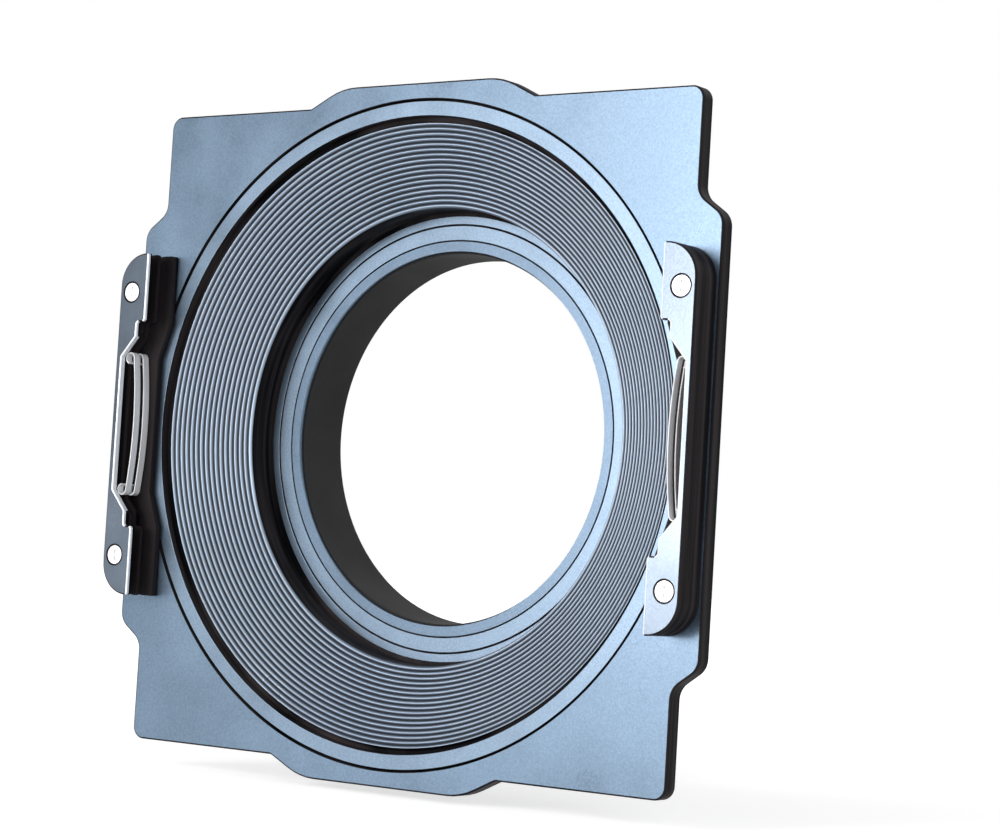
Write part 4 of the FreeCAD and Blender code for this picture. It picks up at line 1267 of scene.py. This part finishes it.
class StageSettings(bpy.types.PropertyGroup):
    """Camera, lamps and floor."""

    camera_place: FloatVectorProperty(
        name="Camera place",
        description="Where the camera stands",
        default=(0.35456, -0.49841, -0.02543),
        subtype="TRANSLATION",
        unit="LENGTH",
    )
    camera_turn: FloatVectorProperty(
        name="Camera turn",
        description="How the camera is turned",
        default=(math.radians(92.927), math.radians(-3.390), math.radians(34.925)),
        subtype="EULER",
        unit="ROTATION",
    )
    focal_length: FloatProperty(
        name="Focal length", description="Focal length in millimetres", default=93.323
    )
    floor_drop: FloatProperty(
        name="Floor drop", description="Floor below the middle", default=0.0815, unit="LENGTH"
    )


def area_lamp(label, place, extent, power, colour):
    """A soft rectangular lamp that looks at the middle of the holder."""
    data = bpy.data.lights.new(label, "AREA")
    data.shape = "RECTANGLE"
    data.size, data.size_y = extent
    data.energy = power
    data.color = colour
    lamp = bpy.data.objects.new(label, data)
    lamp.location = place
    lamp.rotation_euler = Vector(place).to_track_quat("Z", "Y").to_euler()
    bpy.context.scene.collection.objects.link(lamp)


def polar(azimuth, elevation, distance):
    """A place round the holder: azimuth 0 is in front, and positive is to the right."""
    a, e = math.radians(azimuth), math.radians(elevation)
    return (
        distance * math.sin(a) * math.cos(e),
        -distance * math.cos(a) * math.cos(e),
        distance * math.sin(e),
    )


class HOLDER_OT_stage(bpy.types.Operator):
    """Build the floor, the lamps, the world and the camera"""

    bl_idname = "holder.stage"
    bl_label = "Stage"

    def execute(self, context):
        stage = settings("stage")
        scene = context.scene
        scene.view_settings.view_transform = "Standard"

        data = bpy.data.cameras.new("camera")
        data.lens = stage.focal_length
        data.sensor_width = 36.0
        data.clip_start, data.clip_end = 0.01, 50.0
        camera = bpy.data.objects.new("camera", data)
        camera.location = stage.camera_place
        camera.rotation_euler = stage.camera_turn
        scene.collection.objects.link(camera)
        scene.camera = camera

        floor_mesh = bpy.data.meshes.new("floor")
        corners = [(-1, -1), (1, -1), (1, 1), (-1, 1)]
        places = [(x * FLOOR_HALF, y * FLOOR_HALF, -stage.floor_drop) for x, y in corners]
        floor_mesh.from_pydata(places, [], [(0, 1, 2, 3)])
        floor_mesh.materials.append(self.white_floor())
        floor = bpy.data.objects.new("floor", floor_mesh)
        scene.collection.objects.link(floor)

        self.world()
        for label, (direction, extent, power, colour) in LAMPS.items():
            area_lamp(label, polar(*direction), extent, power, colour)
        return {"FINISHED"}

    def white_floor(self):
        """Pale floor that the camera and reflections see as white, with the shadows kept."""
        material = bpy.data.materials.new("floor")
        material.use_nodes = True
        tree = material.node_tree
        tree.nodes.clear()
        highlighted = node(tree, "BsdfDiffuse", {"Color": (0.8, 0.8, 0.8, 1)})
        place = node(tree, "TexCoord").outputs["Object"]
        distance = node(tree, "VectorMath", {0: place}, operation="LENGTH").outputs["Value"]
        fade = node(tree, "MapRange", {"Value": distance, **FLOOR_FADE}, clamp=True).outputs[0]
        path = node(tree, "LightPath").outputs
        seen = maths(tree, "MULTIPLY", path["Is Camera Ray"], fade)
        reflected = maths(tree, "MULTIPLY", path["Is Glossy Ray"], FLOOR_REFLECTED)
        glow = maths(tree, "ADD", seen, reflected)
        white = node(tree, "Emission", {"Color": (1, 1, 1, 1), "Strength": glow})
        both = node(tree, "AddShader", {0: highlighted.outputs[0], 1: white.outputs[0]})
        result = node(tree, "OutputMaterial")
        tree.links.new(both.outputs[0], result.inputs["Surface"])
        return material

    def world(self):
        """Even grey light that the camera and mirrored and refracted rays see as white."""
        world = bpy.data.worlds.new("studio")
        world.use_nodes = True
        bpy.context.scene.world = world
        tree = world.node_tree
        tree.nodes.clear()
        path = node(tree, "LightPath").outputs
        bent = maths(tree, "MAXIMUM", path["Is Glossy Ray"], path["Is Transmission Ray"])
        looking = maths(tree, "MAXIMUM", path["Is Camera Ray"], bent)
        lit, white = [
            node(tree, "Background", {"Color": (1, 1, 1, 1), "Strength": strength}).outputs[0]
            for strength in (SKY_LIGHT, 1.0)
        ]
        shown = node(tree, "MixShader", {0: looking, 1: lit, 2: white}).outputs[0]
        result = node(tree, "OutputWorld")
        tree.links.new(shown, result.inputs["Surface"])


STEPS = (
    HOLDER_OT_plate,
    HOLDER_OT_funnel,
    HOLDER_OT_rails,
    HOLDER_OT_springs,
    HOLDER_OT_screws,
    HOLDER_OT_lens_rings,
    HOLDER_OT_rear_rings,
    HOLDER_OT_stage,
)


class HOLDER_PT_sidebar(bpy.types.Panel):
    """The holder's steps and sizes in the sidebar"""

    bl_label = "Filter holder"
    bl_idname = "HOLDER_PT_sidebar"
    bl_space_type = "VIEW_3D"
    bl_region_type = "UI"
    bl_category = "Filter holder"

    def draw(self, context):
        for step in STEPS:
            self.layout.operator(step.bl_idname)
        for name, group in GROUPS.items():
            box = self.layout.box()
            box.label(text=name.capitalize())
            for key in group.__annotations__:
                box.prop(settings(name), key)


GROUPS = {
    "plate": PlateSizes,
    "rails": RailSizes,
    "funnel": FunnelSizes,
    "springs": SpringSizes,
    "rings": RingSizes,
    "screws": ScrewSizes,
    "finishes": Finishes,
    "stage": StageSettings,
}


def register():
    for group in GROUPS.values():
        bpy.utils.register_class(group)
    for name, group in GROUPS.items():
        setattr(bpy.types.Scene, f"holder_{name}", PointerProperty(type=group))
    for step in STEPS + (HOLDER_PT_sidebar,):
        bpy.utils.register_class(step)


def unregister():
    for step in reversed(STEPS + (HOLDER_PT_sidebar,)):
        bpy.utils.unregister_class(step)
    for name in GROUPS:
        delattr(bpy.types.Scene, f"holder_{name}")
    for group in reversed(GROUPS.values()):
        bpy.utils.unregister_class(group)


def main():
    """Builds the holder and its stage."""
    register()
    bpy.ops.holder.plate()
    bpy.ops.holder.funnel()
    bpy.ops.holder.rails()
    bpy.ops.holder.springs()
    bpy.ops.holder.screws()
    bpy.ops.holder.lens_rings()
    bpy.ops.holder.rear_rings()
    bpy.ops.holder.stage()


if __name__ == "__main__":
    main()
